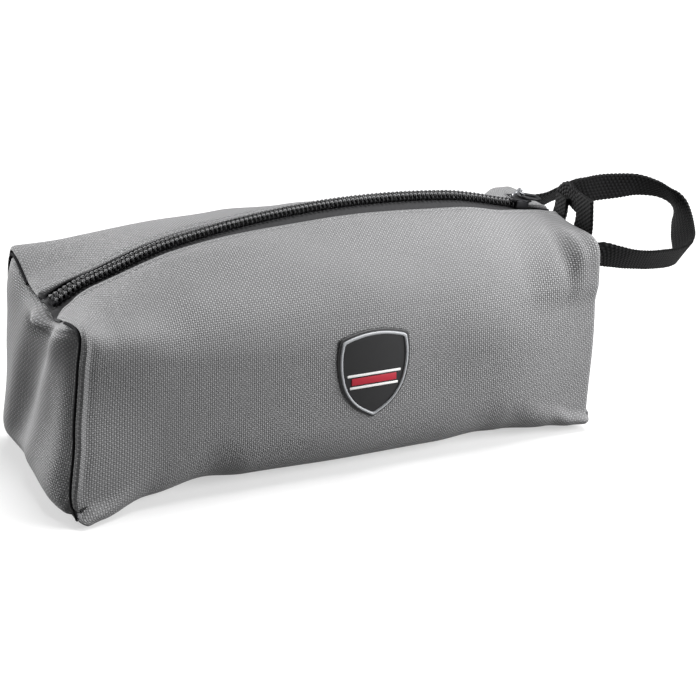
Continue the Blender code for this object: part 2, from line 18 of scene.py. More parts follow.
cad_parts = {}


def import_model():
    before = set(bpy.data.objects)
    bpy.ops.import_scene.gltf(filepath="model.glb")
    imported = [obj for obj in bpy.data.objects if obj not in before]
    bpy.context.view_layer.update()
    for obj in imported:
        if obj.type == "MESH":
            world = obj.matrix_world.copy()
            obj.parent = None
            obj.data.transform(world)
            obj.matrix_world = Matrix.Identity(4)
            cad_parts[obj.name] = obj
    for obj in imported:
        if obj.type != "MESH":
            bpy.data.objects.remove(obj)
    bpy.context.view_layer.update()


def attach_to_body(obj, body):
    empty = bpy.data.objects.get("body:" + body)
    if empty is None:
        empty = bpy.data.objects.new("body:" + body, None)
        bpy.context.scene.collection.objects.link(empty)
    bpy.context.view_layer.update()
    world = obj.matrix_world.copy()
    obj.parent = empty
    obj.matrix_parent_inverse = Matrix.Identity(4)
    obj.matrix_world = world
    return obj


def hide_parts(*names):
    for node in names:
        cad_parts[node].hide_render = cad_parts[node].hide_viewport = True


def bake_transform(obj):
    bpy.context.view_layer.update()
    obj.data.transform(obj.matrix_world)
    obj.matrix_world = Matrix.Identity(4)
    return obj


MM = 0.001
LOG = logging.getLogger("pouch")

Number = np.ndarray | float
Span = tuple[float, float]
Triple = tuple[float, float, float]
Table = tuple[tuple[float, ...], ...]


class Side(Enum):
    """The two long sides of the pouch, by the sign of their y."""

    FRONT = -1
    BACK = 1

    @property
    def word(self) -> str:
        """The side's name as the pieces spell it."""
        return self.name.lower()


class End(Enum):
    """The two ends of the pouch, by the sign of their x."""

    LEFT = -1
    RIGHT = 1

    @property
    def word(self) -> str:
        """The end's name as the pieces spell it."""
        return self.name.lower()


# Shader helpers


class Wire:
    """A socket whose Python operators add Math nodes to its tree."""

    def __init__(self, paint: "Paint", socket: bpy.types.NodeSocket) -> None:
        """Keep the socket and the paint that it belongs to."""
        self.paint = paint
        self.socket = socket

    def _math(self, operation: str, *values: object) -> "Wire":
        """Return the result of one Math node."""
        return self.paint.node("ShaderNodeMath", {"operation": operation}, dict(enumerate(values)))

    def __add__(self, other: object) -> "Wire":
        """Sum."""
        return self._math("ADD", self, other)

    __radd__ = __add__

    def __mul__(self, other: object) -> "Wire":
        """Product."""
        return self._math("MULTIPLY", self, other)

    __rmul__ = __mul__

    def __sub__(self, other: object) -> "Wire":
        """Difference."""
        return self._math("SUBTRACT", self, other)

    def __rsub__(self, other: object) -> "Wire":
        """Difference from a plain number."""
        return self._math("SUBTRACT", other, self)

    def __truediv__(self, other: object) -> "Wire":
        """Quotient."""
        return self._math("DIVIDE", self, other)

    def __pow__(self, other: object) -> "Wire":
        """Power."""
        return self._math("POWER", self, other)

    def sine(self) -> "Wire":
        """Sine of the value."""
        return self._math("SINE", self)

    def wave(self) -> "Wire":
        """Rise and fall between 0 and 1, once for every 1 of the value."""
        return (self * (2 * math.pi)).sine() * 0.5 + 0.5

    def size(self) -> "Wire":
        """Absolute value."""
        return self._math("ABSOLUTE", self)

    def floor(self) -> "Wire":
        """Whole part of the value."""
        return self._math("FLOOR", self)

    def at_least(self, low: object) -> "Wire":
        """The greater of the value and low."""
        return self._math("MAXIMUM", self, low)

    def at_most(self, high: object) -> "Wire":
        """The smaller of the value and high."""
        return self._math("MINIMUM", self, high)


class Paint:
    """A material under construction, with its node tree and Principled shader."""

    def __init__(self, name: str) -> None:
        """Start a material with one Principled shader.

        Args:
            name: The material's name.
        """
        self.material = bpy.data.materials.new(name)
        self.material.use_nodes = True
        self.tree = self.material.node_tree
        self.shader = self.tree.nodes["Principled BSDF"]

    def node(self, kind: str, settings: dict | None = None, inputs: dict | None = None,
             output: int | str = 0) -> Wire:
        """Add one node.

        Args:
            kind: The node's type name.
            settings: Properties of the node, set before its sockets.
            inputs: Values or wires by socket index or name.
            output: Index or name of the socket to return.

        Returns:
            The wanted output socket.
        """
        item = self.tree.nodes.new(kind)
        for key, value in (settings or {}).items():
            setattr(item, key, value)
        for key, value in (inputs or {}).items():
            self.feed(item.inputs[key], value)
        return Wire(self, item.outputs[output])

    def feed(self, socket: bpy.types.NodeSocket, value: object) -> None:
        """Give a socket its value.

        Args:
            socket: The input socket.
            value: A wire to link, or a plain number, vector or colour to set.
        """
        if isinstance(value, Wire):
            self.tree.links.new(value.socket, socket)
        elif isinstance(value, tuple) and len(value) == 3 and socket.type == "RGBA":
            socket.default_value = (*value, 1)
        else:
            socket.default_value = value

    def set(self, **inputs: object) -> None:
        """Set or link the Principled shader's sockets, with underscores for spaces in their names."""
        for key, value in inputs.items():
            self.feed(self.shader.inputs[key.replace("_", " ")], value)

    def split(self, vector: Wire) -> tuple[Wire, Wire, Wire]:
        """Return the three parts of a vector."""
        parts = self.node("ShaderNodeSeparateXYZ", inputs={0: vector}).socket.node.outputs
        return Wire(self, parts[0]), Wire(self, parts[1]), Wire(self, parts[2])

    def cloth_place(self) -> Wire:
        """Place on the cloth in metres, along the bag and across it."""
        return self.node("ShaderNodeUVMap", {"uv_map": "cloth"})

    def object_place(self) -> Wire:
        """Place in the object's own metres."""
        return self.node("ShaderNodeTexCoord", output="Object")

    def noise(self, place: Wire, scale: float, detail: float = 3, rough: float = 0.5) -> Wire:
        """Noise of a scale per metre, from 0 to 1."""
        return self.node("ShaderNodeTexNoise", {"noise_dimensions": "3D"},
                         {"Vector": place, "Scale": scale, "Detail": detail, "Roughness": rough})

    def blend(self, share: object, first: object, second: object) -> Wire:
        """Mix two colours by a share."""
        return self.node("ShaderNodeMix", {"data_type": "RGBA"}, {0: share, 6: first, 7: second}, 2)

    def bump(self, height: Wire, distance: float, strength: float = 1) -> Wire:
        """Bump from a height, with the distance in millimetres that a height of 1 stands for."""
        return self.node("ShaderNodeBump", inputs={"Height": height, "Distance": distance * MM,
                                                   "Strength": strength})


def shade(colour: Triple, share: float) -> Triple:
    """A colour made darker or lighter by a share, and never lighter than white."""
    return tuple(min(1, value * share) for value in colour)


@dataclass(frozen=True)
class WovenFinish:
    """Coarse plain weave of coated polyester yarn.

    Yarn and relief are in millimetres, scales are per metre, and the rest are shares.
    """

    name: str
    ground: Triple
    float_colour: Triple
    yarn: float = 0.95
    relief: float = 0.65
    strength: float = 0.65
    roughness: float = 0.55
    specular: float = 0.35
    sway: Span = (0.9, 0.7)
    sway_scale: float = 45
    tone_scale: float = 28
    slack_scale: float = 16
    least_slack: float = 0.15
    slack_spread: float = 1.6
    yarn_shape: float = 0.8
    uneven_yarns: float = 0.25
    weft_tone: float = 0.1
    weft_height: float = 0.45
    broad_tone: float = 0.12
    tone_roughness: float = 0.15

    def make(self) -> bpy.types.Material:
        """Make the material: floats of both yarn sets, uneven yarns and broad tone changes.

        Returns:
            The material.
        """
        paint = Paint(self.name)
        place = paint.cloth_place()
        along, across, _ = paint.split(place)
        sway = paint.noise(place, self.sway_scale, 2) - 0.5
        pitch = self.yarn * MM
        column = along / pitch + sway * self.sway[0]
        row = across / pitch + sway * self.sway[1]
        wave = (column * math.pi).sine() * (row * math.pi).sine()
        warp = wave.at_least(0) ** self.yarn_shape
        weft = (wave * -1).at_least(0) ** self.yarn_shape
        cell = paint.node("ShaderNodeCombineXYZ", inputs={0: column.floor(), 1: row.floor()})
        yarn_tone = paint.node("ShaderNodeTexWhiteNoise", {"noise_dimensions": "2D"}, {"Vector": cell})
        tone = paint.noise(place, self.tone_scale, 3, 0.6) - 0.5
        slack = paint.noise(place, self.slack_scale, 1) * self.slack_spread + self.least_slack
        floats = warp * (yarn_tone * self.uneven_yarns + (1 - self.uneven_yarns)) * slack
        light = (floats + weft * self.weft_tone + tone * self.broad_tone).at_least(0).at_most(1)
        height = (warp + weft * self.weft_height) * slack
        paint.set(Base_Color=paint.blend(light, self.ground, self.float_colour),
                  Roughness=self.roughness + tone * self.tone_roughness + weft * self.weft_tone,
                  Normal=paint.bump(height, self.relief, self.strength),
                  Specular_IOR_Level=self.specular)
        return paint.material


@dataclass(frozen=True)
class TapeFinish:
    """Woven zipper tape or binding: fine slanted ribs in narrow bands, fuzz and a matt face."""

    name: str
    colour: Triple
    rib: float = 0.55
    band: float = 3.1
    slant: float = 0.35
    relief: float = 0.08
    roughness: float = 0.75
    specular: float = 0.3
    shadow: float = 0.55
    fuzz_scale: float = 900
    fuzz_share: float = 0.3
    fuzz_roughness: float = 0.2

    def make(self) -> bpy.types.Material:
        """Make the material.

        Returns:
            The material.
        """
        paint = Paint(self.name)
        place = paint.cloth_place()
        along, across, _ = paint.split(place)
        pitch = self.rib * MM
        step = (across / (self.band * MM)).floor() * 0.5
        rib = (along / pitch + step + across / pitch * self.slant).wave()
        cross = (across / pitch).wave()
        fuzz = paint.noise(place, self.fuzz_scale)
        light = rib * (1 - self.fuzz_share) + fuzz * self.fuzz_share
        height = rib + cross * self.fuzz_share + fuzz * self.fuzz_share
        paint.set(Base_Color=paint.blend(light, shade(self.colour, self.shadow), self.colour),
                  Roughness=self.roughness + (fuzz - 0.5) * self.fuzz_roughness,
                  Normal=paint.bump(height, self.relief),
                  Specular_IOR_Level=self.specular)
        return paint.material


@dataclass(frozen=True)
class WebbingFinish:
    """Heavy black webbing: rows of ribs that step from column to column."""

    name: str
    colour: Triple
    rib: float = 2
    column: float = 1.63
    relief: float = 0.4
    roughness: float = 0.65
    specular: float = 0.12
    shadow: float = 0.3
    rib_tone: float = 0.85
    fuzz_scale: float = 1200
    fuzz_tone: float = 0.3
    fuzz_height: float = 0.25
    fuzz_roughness: float = 0.2

    def make(self) -> bpy.types.Material:
        """Make the material.

        Returns:
            The material.
        """
        paint = Paint(self.name)
        place = paint.cloth_place()
        along, across, _ = paint.split(place)
        column = across / (self.column * MM)
        rib = (along / (self.rib * MM) + column.floor() * 0.5).wave()
        raised = rib * (column * math.pi).sine().size()
        fuzz = paint.noise(place, self.fuzz_scale)
        light = (raised * self.rib_tone + fuzz * self.fuzz_tone).at_most(1)
        paint.set(Base_Color=paint.blend(light, shade(self.colour, self.shadow), self.colour),
                  Roughness=self.roughness + (fuzz - 0.5) * self.fuzz_roughness,
                  Normal=paint.bump(raised + fuzz * self.fuzz_height, self.relief),
                  Specular_IOR_Level=self.specular)
        return paint.material


@dataclass(frozen=True)
class SolidFinish:
    """Moulded nylon, rubber, enamel or metal with fine grain and worn high spots."""

    name: str
    colour: Triple
    roughness: float
    metallic: float = 0
    grain: float = 2500
    relief: float = 0.01
    patch: float = 0.15
    patch_scale: float = 260
    patch_roughness: float = 0.2
    grain_roughness: float = 0.1
    specular: float = 0.5

    def make(self) -> bpy.types.Material:
        """Make the material.

        Returns:
            The material.
        """
        paint = Paint(self.name)
        place = paint.object_place()
        fine = paint.noise(place, self.grain)
        broad = paint.noise(place, self.patch_scale, 3, 0.6)
        colour = paint.blend(broad, shade(self.colour, 1 - self.patch), shade(self.colour, 1 + self.patch))
        wear = (broad - 0.5) * self.patch_roughness
        paint.set(Base_Color=colour,
                  Roughness=self.roughness + wear + (fine - 0.5) * self.grain_roughness,
                  Normal=paint.bump(fine, self.relief),
                  Metallic=self.metallic,
                  Specular_IOR_Level=self.specular)
        return paint.material


class Palette:
    """Every finish of the pouch, each made once."""

    def __init__(self) -> None:
        """Make the materials."""
        self.fabric = WovenFinish("woven_grey", (0.17, 0.17, 0.173), (0.352, 0.352, 0.357)).make()
        self.lining = WovenFinish("coated_back", (0.1, 0.1, 0.105), (0.2, 0.2, 0.205), relief=0.06,
                                  roughness=0.45).make()
        self.tape = TapeFinish("tape_black", (0.036, 0.036, 0.038)).make()
        self.binding = TapeFinish("binding_black", (0.03, 0.03, 0.031), rib=0.8).make()
        self.coil = SolidFinish("coil_nylon", (0.01, 0.01, 0.011), 0.4, relief=0.004, specular=0.25).make()
        self.matt_black = SolidFinish("matt_black", (0.008, 0.008, 0.009), 0.85, specular=0.1).make()
        # Light grey of the coil's sewing threads: partly the thread's own colour, partly painted highlight of
        # the coil's turns.
        self.zip_thread_and_highlight = SolidFinish("zip_thread_and_highlight", (0.22, 0.22, 0.225), 0.5, grain=6000,
                                      specular=0.3).make()
        self.metal = SolidFinish("slider_gunmetal", (0.035, 0.035, 0.038), 0.32, metallic=0.6,
                                 patch=0.3).make()
        self.pull_metal = SolidFinish("pull_black", (0.02, 0.02, 0.022), 0.5, specular=0.3).make()
        self.bright_metal = SolidFinish("slider_bright", (0.28, 0.285, 0.3), 0.42, metallic=0.8,
                                        patch=0.2).make()
        self.webbing = WebbingFinish("webbing_black", (0.0075, 0.0075, 0.008)).make()
        self.thread = SolidFinish("thread_grey", (0.26, 0.26, 0.265), 0.6, grain=6000).make()
        self.badge_black = SolidFinish("badge_rubber", (0.022, 0.022, 0.023), 0.5, relief=0.02).make()
        self.badge_face = SolidFinish("badge_face", (0.024, 0.024, 0.025), 0.6, relief=0.03,
                                      specular=0.25).make()
        self.badge_silver = SolidFinish("badge_silver", (0.36, 0.37, 0.385), 0.4, patch=0.06).make()
        self.badge_white = SolidFinish("badge_white", (0.85, 0.85, 0.84), 0.5, patch=0.03).make()
        self.badge_red = SolidFinish("badge_red", (0.42, 0.012, 0.03), 0.5, patch=0.12).make()


# Mesh helpers


def deselect() -> None:
    """Leave object mode with nothing selected."""
    if bpy.context.mode != "OBJECT":
        bpy.ops.object.mode_set(mode="OBJECT")
    bpy.ops.object.select_all(action="DESELECT")


def pick(item: bpy.types.Object) -> None:
    """Select one object alone and make it active.

    Args:
        item: The object.
    """
    deselect()
    item.select_set(True)
    bpy.context.view_layer.objects.active = item


def edit_all(item: bpy.types.Object) -> None:
    """Open one object in edit mode with all of it selected.

    Args:
        item: The object.
    """
    pick(item)
    bpy.ops.object.mode_set(mode="EDIT")
    bpy.ops.mesh.select_all(action="SELECT")


def settle(item: bpy.types.Object, smooth_angle: float = 40) -> bpy.types.Object:
    """Apply an object's modifiers and place, and smooth its faces up to an angle.

    Args:
        item: The object.
        smooth_angle: Greatest angle in degrees that is shaded smooth.

    Returns:
        The same object, at the origin.
    """
    pick(item)
    for modifier in list(item.modifiers):
        bpy.ops.object.modifier_apply(modifier=modifier.name)
    bpy.ops.object.transform_apply(location=True, rotation=True, scale=True)
    bpy.ops.object.shade_smooth_by_angle(angle=math.radians(smooth_angle))
    deselect()
    return item


def cloth_grid(name: str, points: np.ndarray, cloth: np.ndarray, finish: bpy.types.Material,
               flip: bool = False) -> bpy.types.Object:
    """Return a smooth sheet through a grid of points.

    Args:
        name: Name of the piece.
        points: Rows x columns x 3 points in millimetres.
        cloth: Rows x columns x 2 places on the cloth in millimetres.
        finish: Its material.
        flip: Whether the faces point the other way.

    Returns:
        The new object.
    """
    rows, columns = points.shape[:2]
    index = np.arange(rows * columns).reshape(rows, columns)
    corners = [index[:-1, :-1], index[:-1, 1:], index[1:, 1:], index[1:, :-1]]
    if flip:
        corners.reverse()
    faces = np.stack(corners, -1).reshape(-1, 4)
    mesh = bpy.data.meshes.new(name)
    mesh.from_pydata((points.reshape(-1, 3) * MM).tolist(), [], faces.tolist())
    layer = mesh.uv_layers.new(name="cloth")
    layer.data.foreach_set("uv", (cloth.reshape(-1, 2) * MM)[faces.ravel()].ravel())
    mesh.polygons.foreach_set("use_smooth", [True] * len(mesh.polygons))
    mesh.materials.append(finish)
    item = bpy.data.objects.new(name, mesh)
    bpy.context.scene.collection.objects.link(item)
    return item


def thicken(item: bpy.types.Object, thickness: float, others: Sequence[bpy.types.Material] = (),
            offset: float = -1) -> bpy.types.Object:
    """Give a sheet its thickness and apply it.

    Args:
        item: The sheet.
        thickness: Its thickness in millimetres.
        others: Materials of its inner face and of its cut edges, if they differ from the outer face.
        offset: Side to which it thickens, -1 inwards or 1 outwards.

    Returns:
        The same object.
    """
    solid = item.modifiers.new("Thickness", "SOLIDIFY")
    solid.thickness = thickness * MM
    solid.offset = offset
    solid.use_quality_normals = True
    if others:
        for finish in others:
            item.data.materials.append(finish)
        solid.material_offset = 1
        solid.material_offset_rim = len(others)
    return settle(item, 50)


def weld(item: bpy.types.Object, reach: float, cap: bool = False) -> bpy.types.Object:
    """Merge a sheet's meeting edges into a skin that faces outwards.

    Args:
        item: The sheet.
        reach: Greatest distance in millimetres between vertices that merge.
        cap: Whether its open ends are filled.

    Returns:
        The same object.
    """
    edit_all(item)
    bpy.ops.mesh.remove_doubles(threshold=reach * MM)
    if cap:
        bpy.ops.mesh.select_all(action="DESELECT")
        bpy.ops.mesh.select_non_manifold()
        bpy.ops.mesh.edge_face_add()
        bpy.ops.mesh.select_all(action="SELECT")
    bpy.ops.mesh.normals_make_consistent(inside=False)
    deselect()
    return item


def round_edges(item: bpy.types.Object, width: float, segments: int = 3, least_turn: float = 30) -> None:
    """Give an object rounded edges, still to be applied.

    Args:
        item: The object.
        width: How far from the edge the rounding starts, in millimetres.
        segments: Faces across the rounding.
        least_turn: Least angle in degrees between the faces of an edge that is rounded.
    """
    bevel = item.modifiers.new("Edges", "BEVEL")
    bevel.width = width * MM
    bevel.segments = segments
    bevel.limit_method = "ANGLE"
    bevel.angle_limit = math.radians(least_turn)


def tube(name: str, paths: Sequence[np.ndarray], radius: float, finish: bpy.types.Material,
         sides: int = 1, closed: bool = False) -> bpy.types.Object:
    """Return a round wire or thread along one or more paths.

    Args:
        name: Name of the piece.
        paths: Point arrays in millimetres.
        radius: Wire radius in millimetres.
        finish: Its material.
        sides: Bevel resolution of the wire's section.
        closed: Whether each path returns to its start.

    Returns:
        The wire as a mesh.
    """
    curve = bpy.data.curves.new(name, "CURVE")
    curve.dimensions = "3D"
    curve.bevel_depth = radius * MM
    curve.bevel_resolution = sides
    curve.use_fill_caps = not closed
    for path in paths:
        spline = curve.splines.new("POLY")
        spline.points.add(len(path) - 1)
        flat = np.concatenate([path * MM, np.ones((len(path), 1))], 1)
        spline.points.foreach_set("co", flat.ravel())
        spline.use_cyclic_u = closed
    item = bpy.data.objects.new(name, curve)
    bpy.context.scene.collection.objects.link(item)
    pick(item)
    bpy.ops.object.convert(target="MESH")
    item = bpy.context.object
    item.data.materials.clear()
    item.data.materials.append(finish)
    bpy.ops.object.shade_smooth()
    deselect()
    return item


def block(name: str, low: Sequence[float], high: Sequence[float],
          finish: bpy.types.Material) -> bpy.types.Object:
    """Return a box with sharp edges.

    Args:
        name: Name of the piece.
        low: Its lowest corner in millimetres.
        high: Its highest corner in millimetres.
        finish: Its material.

    Returns:
        The new object, at the origin.
    """
    deselect()
    bpy.ops.mesh.primitive_cube_add(size=1)
    item = bpy.context.object
    item.name = name
    low_corner, high_corner = Vector(low), Vector(high)
    item.location = (low_corner + high_corner) / 2 * MM
    item.scale = (high_corner - low_corner) * MM
    bpy.ops.object.transform_apply(location=True, rotation=True, scale=True)
    item.data.materials.append(finish)
    return item


def rounded_block(name: str, low: Sequence[float], high: Sequence[float], finish: bpy.types.Material,
                  round_off: float, segments: int = 3) -> bpy.types.Object:
    """Return a box with its rounded edges applied.

    Args:
        name: Name of the piece.
        low: Its lowest corner in millimetres.
        high: Its highest corner in millimetres.
        finish: Its material.
        round_off: How far from the edge the rounding starts, in millimetres.
        segments: Faces across the rounding.

    Returns:
        The new object, at the origin.
    """
    item = block(name, low, high, finish)
    round_edges(item, round_off, segments)
    pick(item)
    bpy.ops.object.modifier_apply(modifier="Edges")
    return item


def join(name: str, items: Sequence[bpy.types.Object]) -> bpy.types.Object:
    """Join finished meshes into one piece.

    Args:
        name: Name of the piece.
        items: The meshes, of which the first takes the others in.

    Returns:
        The one piece.
    """
    pick(items[0])
    for item in items:
        item.select_set(True)
    bpy.ops.object.join()
    bpy.context.object.name = name
    bpy.context.object.data.name = name
    deselect()
    return items[0]


def attach(item: bpy.types.Object, slot: str, nodes: Sequence[str] = (), body: str | None = None) -> None:
    """Fit a finished piece to the frame and report it.

    Args:
        item: The piece.
        slot: Its material slot; not used.
        nodes: The CAD nodes that it takes the place of.
        body: The body that it rides on, if it rides on one.
    """
    if nodes:
        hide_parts(*nodes)
    if body:
        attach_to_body(item, body)
    LOG.info("%s: %d faces", item.name, len(item.data.polygons))


def bend_to_lip(item: bpy.types.Object) -> None:
    """Bake a mouth piece's place into its mesh."""
    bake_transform(item)


# Curves and tables


def bell(value: Number, width: float) -> Number:
    """Bell curve that is 1 at 0."""
    return np.exp(-(value / width) ** 2)


def ease(value: Number, low: float, high: float) -> Number:
    """Smooth rise from 0 at low to 1 at high."""
    share = np.clip((value - low) / (high - low), 0, 1)
    return share * share * (3 - 2 * share)


def filled(gap: Number, reach: float) -> Number:
    """Share to which stuffed cloth has risen at a gap from its edge."""
    return 1 - np.exp(-gap / reach)


def smooth_table(x: Number, table: Table, column: int = 1) -> Number:
    """Read a table that is eased between its rows.

    Args:
        x: Where to read it.
        table: Rows that start with their x, in rising order.
        column: The column to read.

    Returns:
        The column's value at x.
    """
    places = np.array([row[0] for row in table], float)
    values = np.array([row[column] for row in table], float)
    index = np.clip(np.searchsorted(places, x, side="right") - 1, 0, len(places) - 2)
    share = ease(x, places[index], places[index + 1])
    return values[index] + (values[index + 1] - values[index]) * share


def walk(points: np.ndarray) -> np.ndarray:
    """Distance along a line of points."""
    return np.concatenate([[0], np.cumsum(np.linalg.norm(np.diff(points, axis=0), axis=1))])


def resample(points: np.ndarray, distances: np.ndarray) -> np.ndarray:
    """Points of a line at given distances along it."""
    along = walk(points)
    return np.stack([np.interp(distances, along, points[:, axis]) for axis in range(points.shape[1])], 1)


def spread(points: np.ndarray, count: int) -> np.ndarray:
    """A line's points, spaced evenly from its start to its end."""
    return resample(points, np.linspace(0, 1, count) * walk(points)[-1])


def unit(vectors: np.ndarray) -> np.ndarray:
    """Vectors of length 1 in the same directions."""
    return vectors / np.maximum(np.linalg.norm(vectors, axis=1, keepdims=True), 1e-9)


def line_normals(points: np.ndarray, soften: int = 2) -> np.ndarray:
    """Unit normals of a line in its plane, to the left of its direction.

    Args:
        points: Points of the line.
        soften: How many neighbours on each side share in a normal, so that sharp corners don't fold over.

    Returns:
        The normals.
    """
    tangent = unit(np.gradient(points, axis=0))
    padded = np.pad(tangent, ((soften, soften), (0, 0)), mode="edge")
    tangent = unit(sum(padded[step: step + len(tangent)] for step in range(2 * soften + 1)))
    return np.stack([-tangent[:, 1], tangent[:, 0]], 1)


def cubic(corners: np.ndarray, count: int) -> np.ndarray:
    """Points of the cubic curve that four control points draw."""
    t = np.linspace(0, 1, count)[:, None]
    return ((1 - t) ** 3 * corners[0] + 3 * t * (1 - t) ** 2 * corners[1]
            + 3 * t ** 2 * (1 - t) * corners[2] + t ** 3 * corners[3])


def smooth_line(points: np.ndarray, cuts: int) -> np.ndarray:
    """Smooth curve through points.

    Args:
        points: The points to pass through.
        cuts: Pieces between two points.

    Returns:
        The points of the curve.
    """
    padded = np.vstack([2 * points[0] - points[1], points, 2 * points[-1] - points[-2]])
    result = []
    for index in range(1, len(padded) - 2):
        a, b, c, d = padded[index - 1: index + 3]
        for step in range(cuts):
            t = step / cuts
            result.append(0.5 * (2 * b + (c - a) * t + (2 * a - 5 * b + 4 * c - d) * t ** 2
                                 + (3 * b - a - 3 * c + d) * t ** 3))
    result.append(points[-1])
    return np.array(result)


def round_corners(ring: np.ndarray, reach: float, angle: float = 25) -> np.ndarray:
    """Cut the sharp corners of a closed ring with short arcs.

    Args:
        ring: Points of the ring.
        reach: How far from a corner its arc starts.
        angle: Least turn in degrees that counts as a corner.

    Returns:
        The ring with rounded corners.
    """
    count = len(ring)
    result = []
    for index in range(count):
        before, here, after = ring[index - 1], ring[index], ring[(index + 1) % count]
        way_in, way_out = np.linalg.norm(here - before), np.linalg.norm(after - here)
        first = (here - before) / max(way_in, 1e-9)
        second = (after - here) / max(way_out, 1e-9)
        if np.degrees(np.arccos(np.clip(first @ second, -1, 1))) < angle:
            result.append(here)
            continue
        cut = min(reach, 0.8 * way_in, 0.8 * way_out)
        start, end = here - first * cut, here + second * cut
        for t in (0, 0.25, 0.5, 0.75, 1):
            result.append((1 - t) ** 2 * start + 2 * t * (1 - t) * here + t ** 2 * end)
    return np.array(result)


# Forms of slack cloth


@dataclass(frozen=True)
class Bump:
    """Round swelling or hollow at a place on a panel, by two ways across it."""

    height: float
    first: float
    first_width: float
    second: float
    second_width: float

    def at(self, first: Number, second: Number) -> Number:
        """Its height at a place on the panel."""
        near = bell(first - self.first, self.first_width)
        return self.height * near * bell(second - self.second, self.second_width)


@dataclass(frozen=True)
class Crease:
    """Slanting soft fold through a place on a panel, that fades out along the panel."""

    height: float
    first: float
    second: float
    slope: Span
    width: float
    length: float = math.inf

    def at(self, first: Number, second: Number) -> Number:
        """Its height at a place on the panel."""
        across = (first - self.first) * self.slope[0] + (second - self.second) * self.slope[1]
        return self.height * bell(across, self.width) * bell(first - self.first, self.length)


@dataclass(frozen=True)
class Pleat:
    """Fold that runs down an end panel: its place across at the top, how far it leans and how it fades."""

    height: float
    top: float
    lean: float
    width: float
    fading: float = 0

    def at(self, y: Number, fall: Number) -> Number:
        """Its height at y, where fall goes from 0 at the panel's top to 1 near its bottom."""
        return self.height * bell(y - (self.lean * fall + self.top), self.width) * (1 - self.fading * fall)


@dataclass(frozen=True)
class CornerShift:
    """How far the slack cloth lets one stuffed corner move, and how far along the pouch that reaches."""

    end: End
    side: Side
    top: bool
    reach: float
    shift: Triple


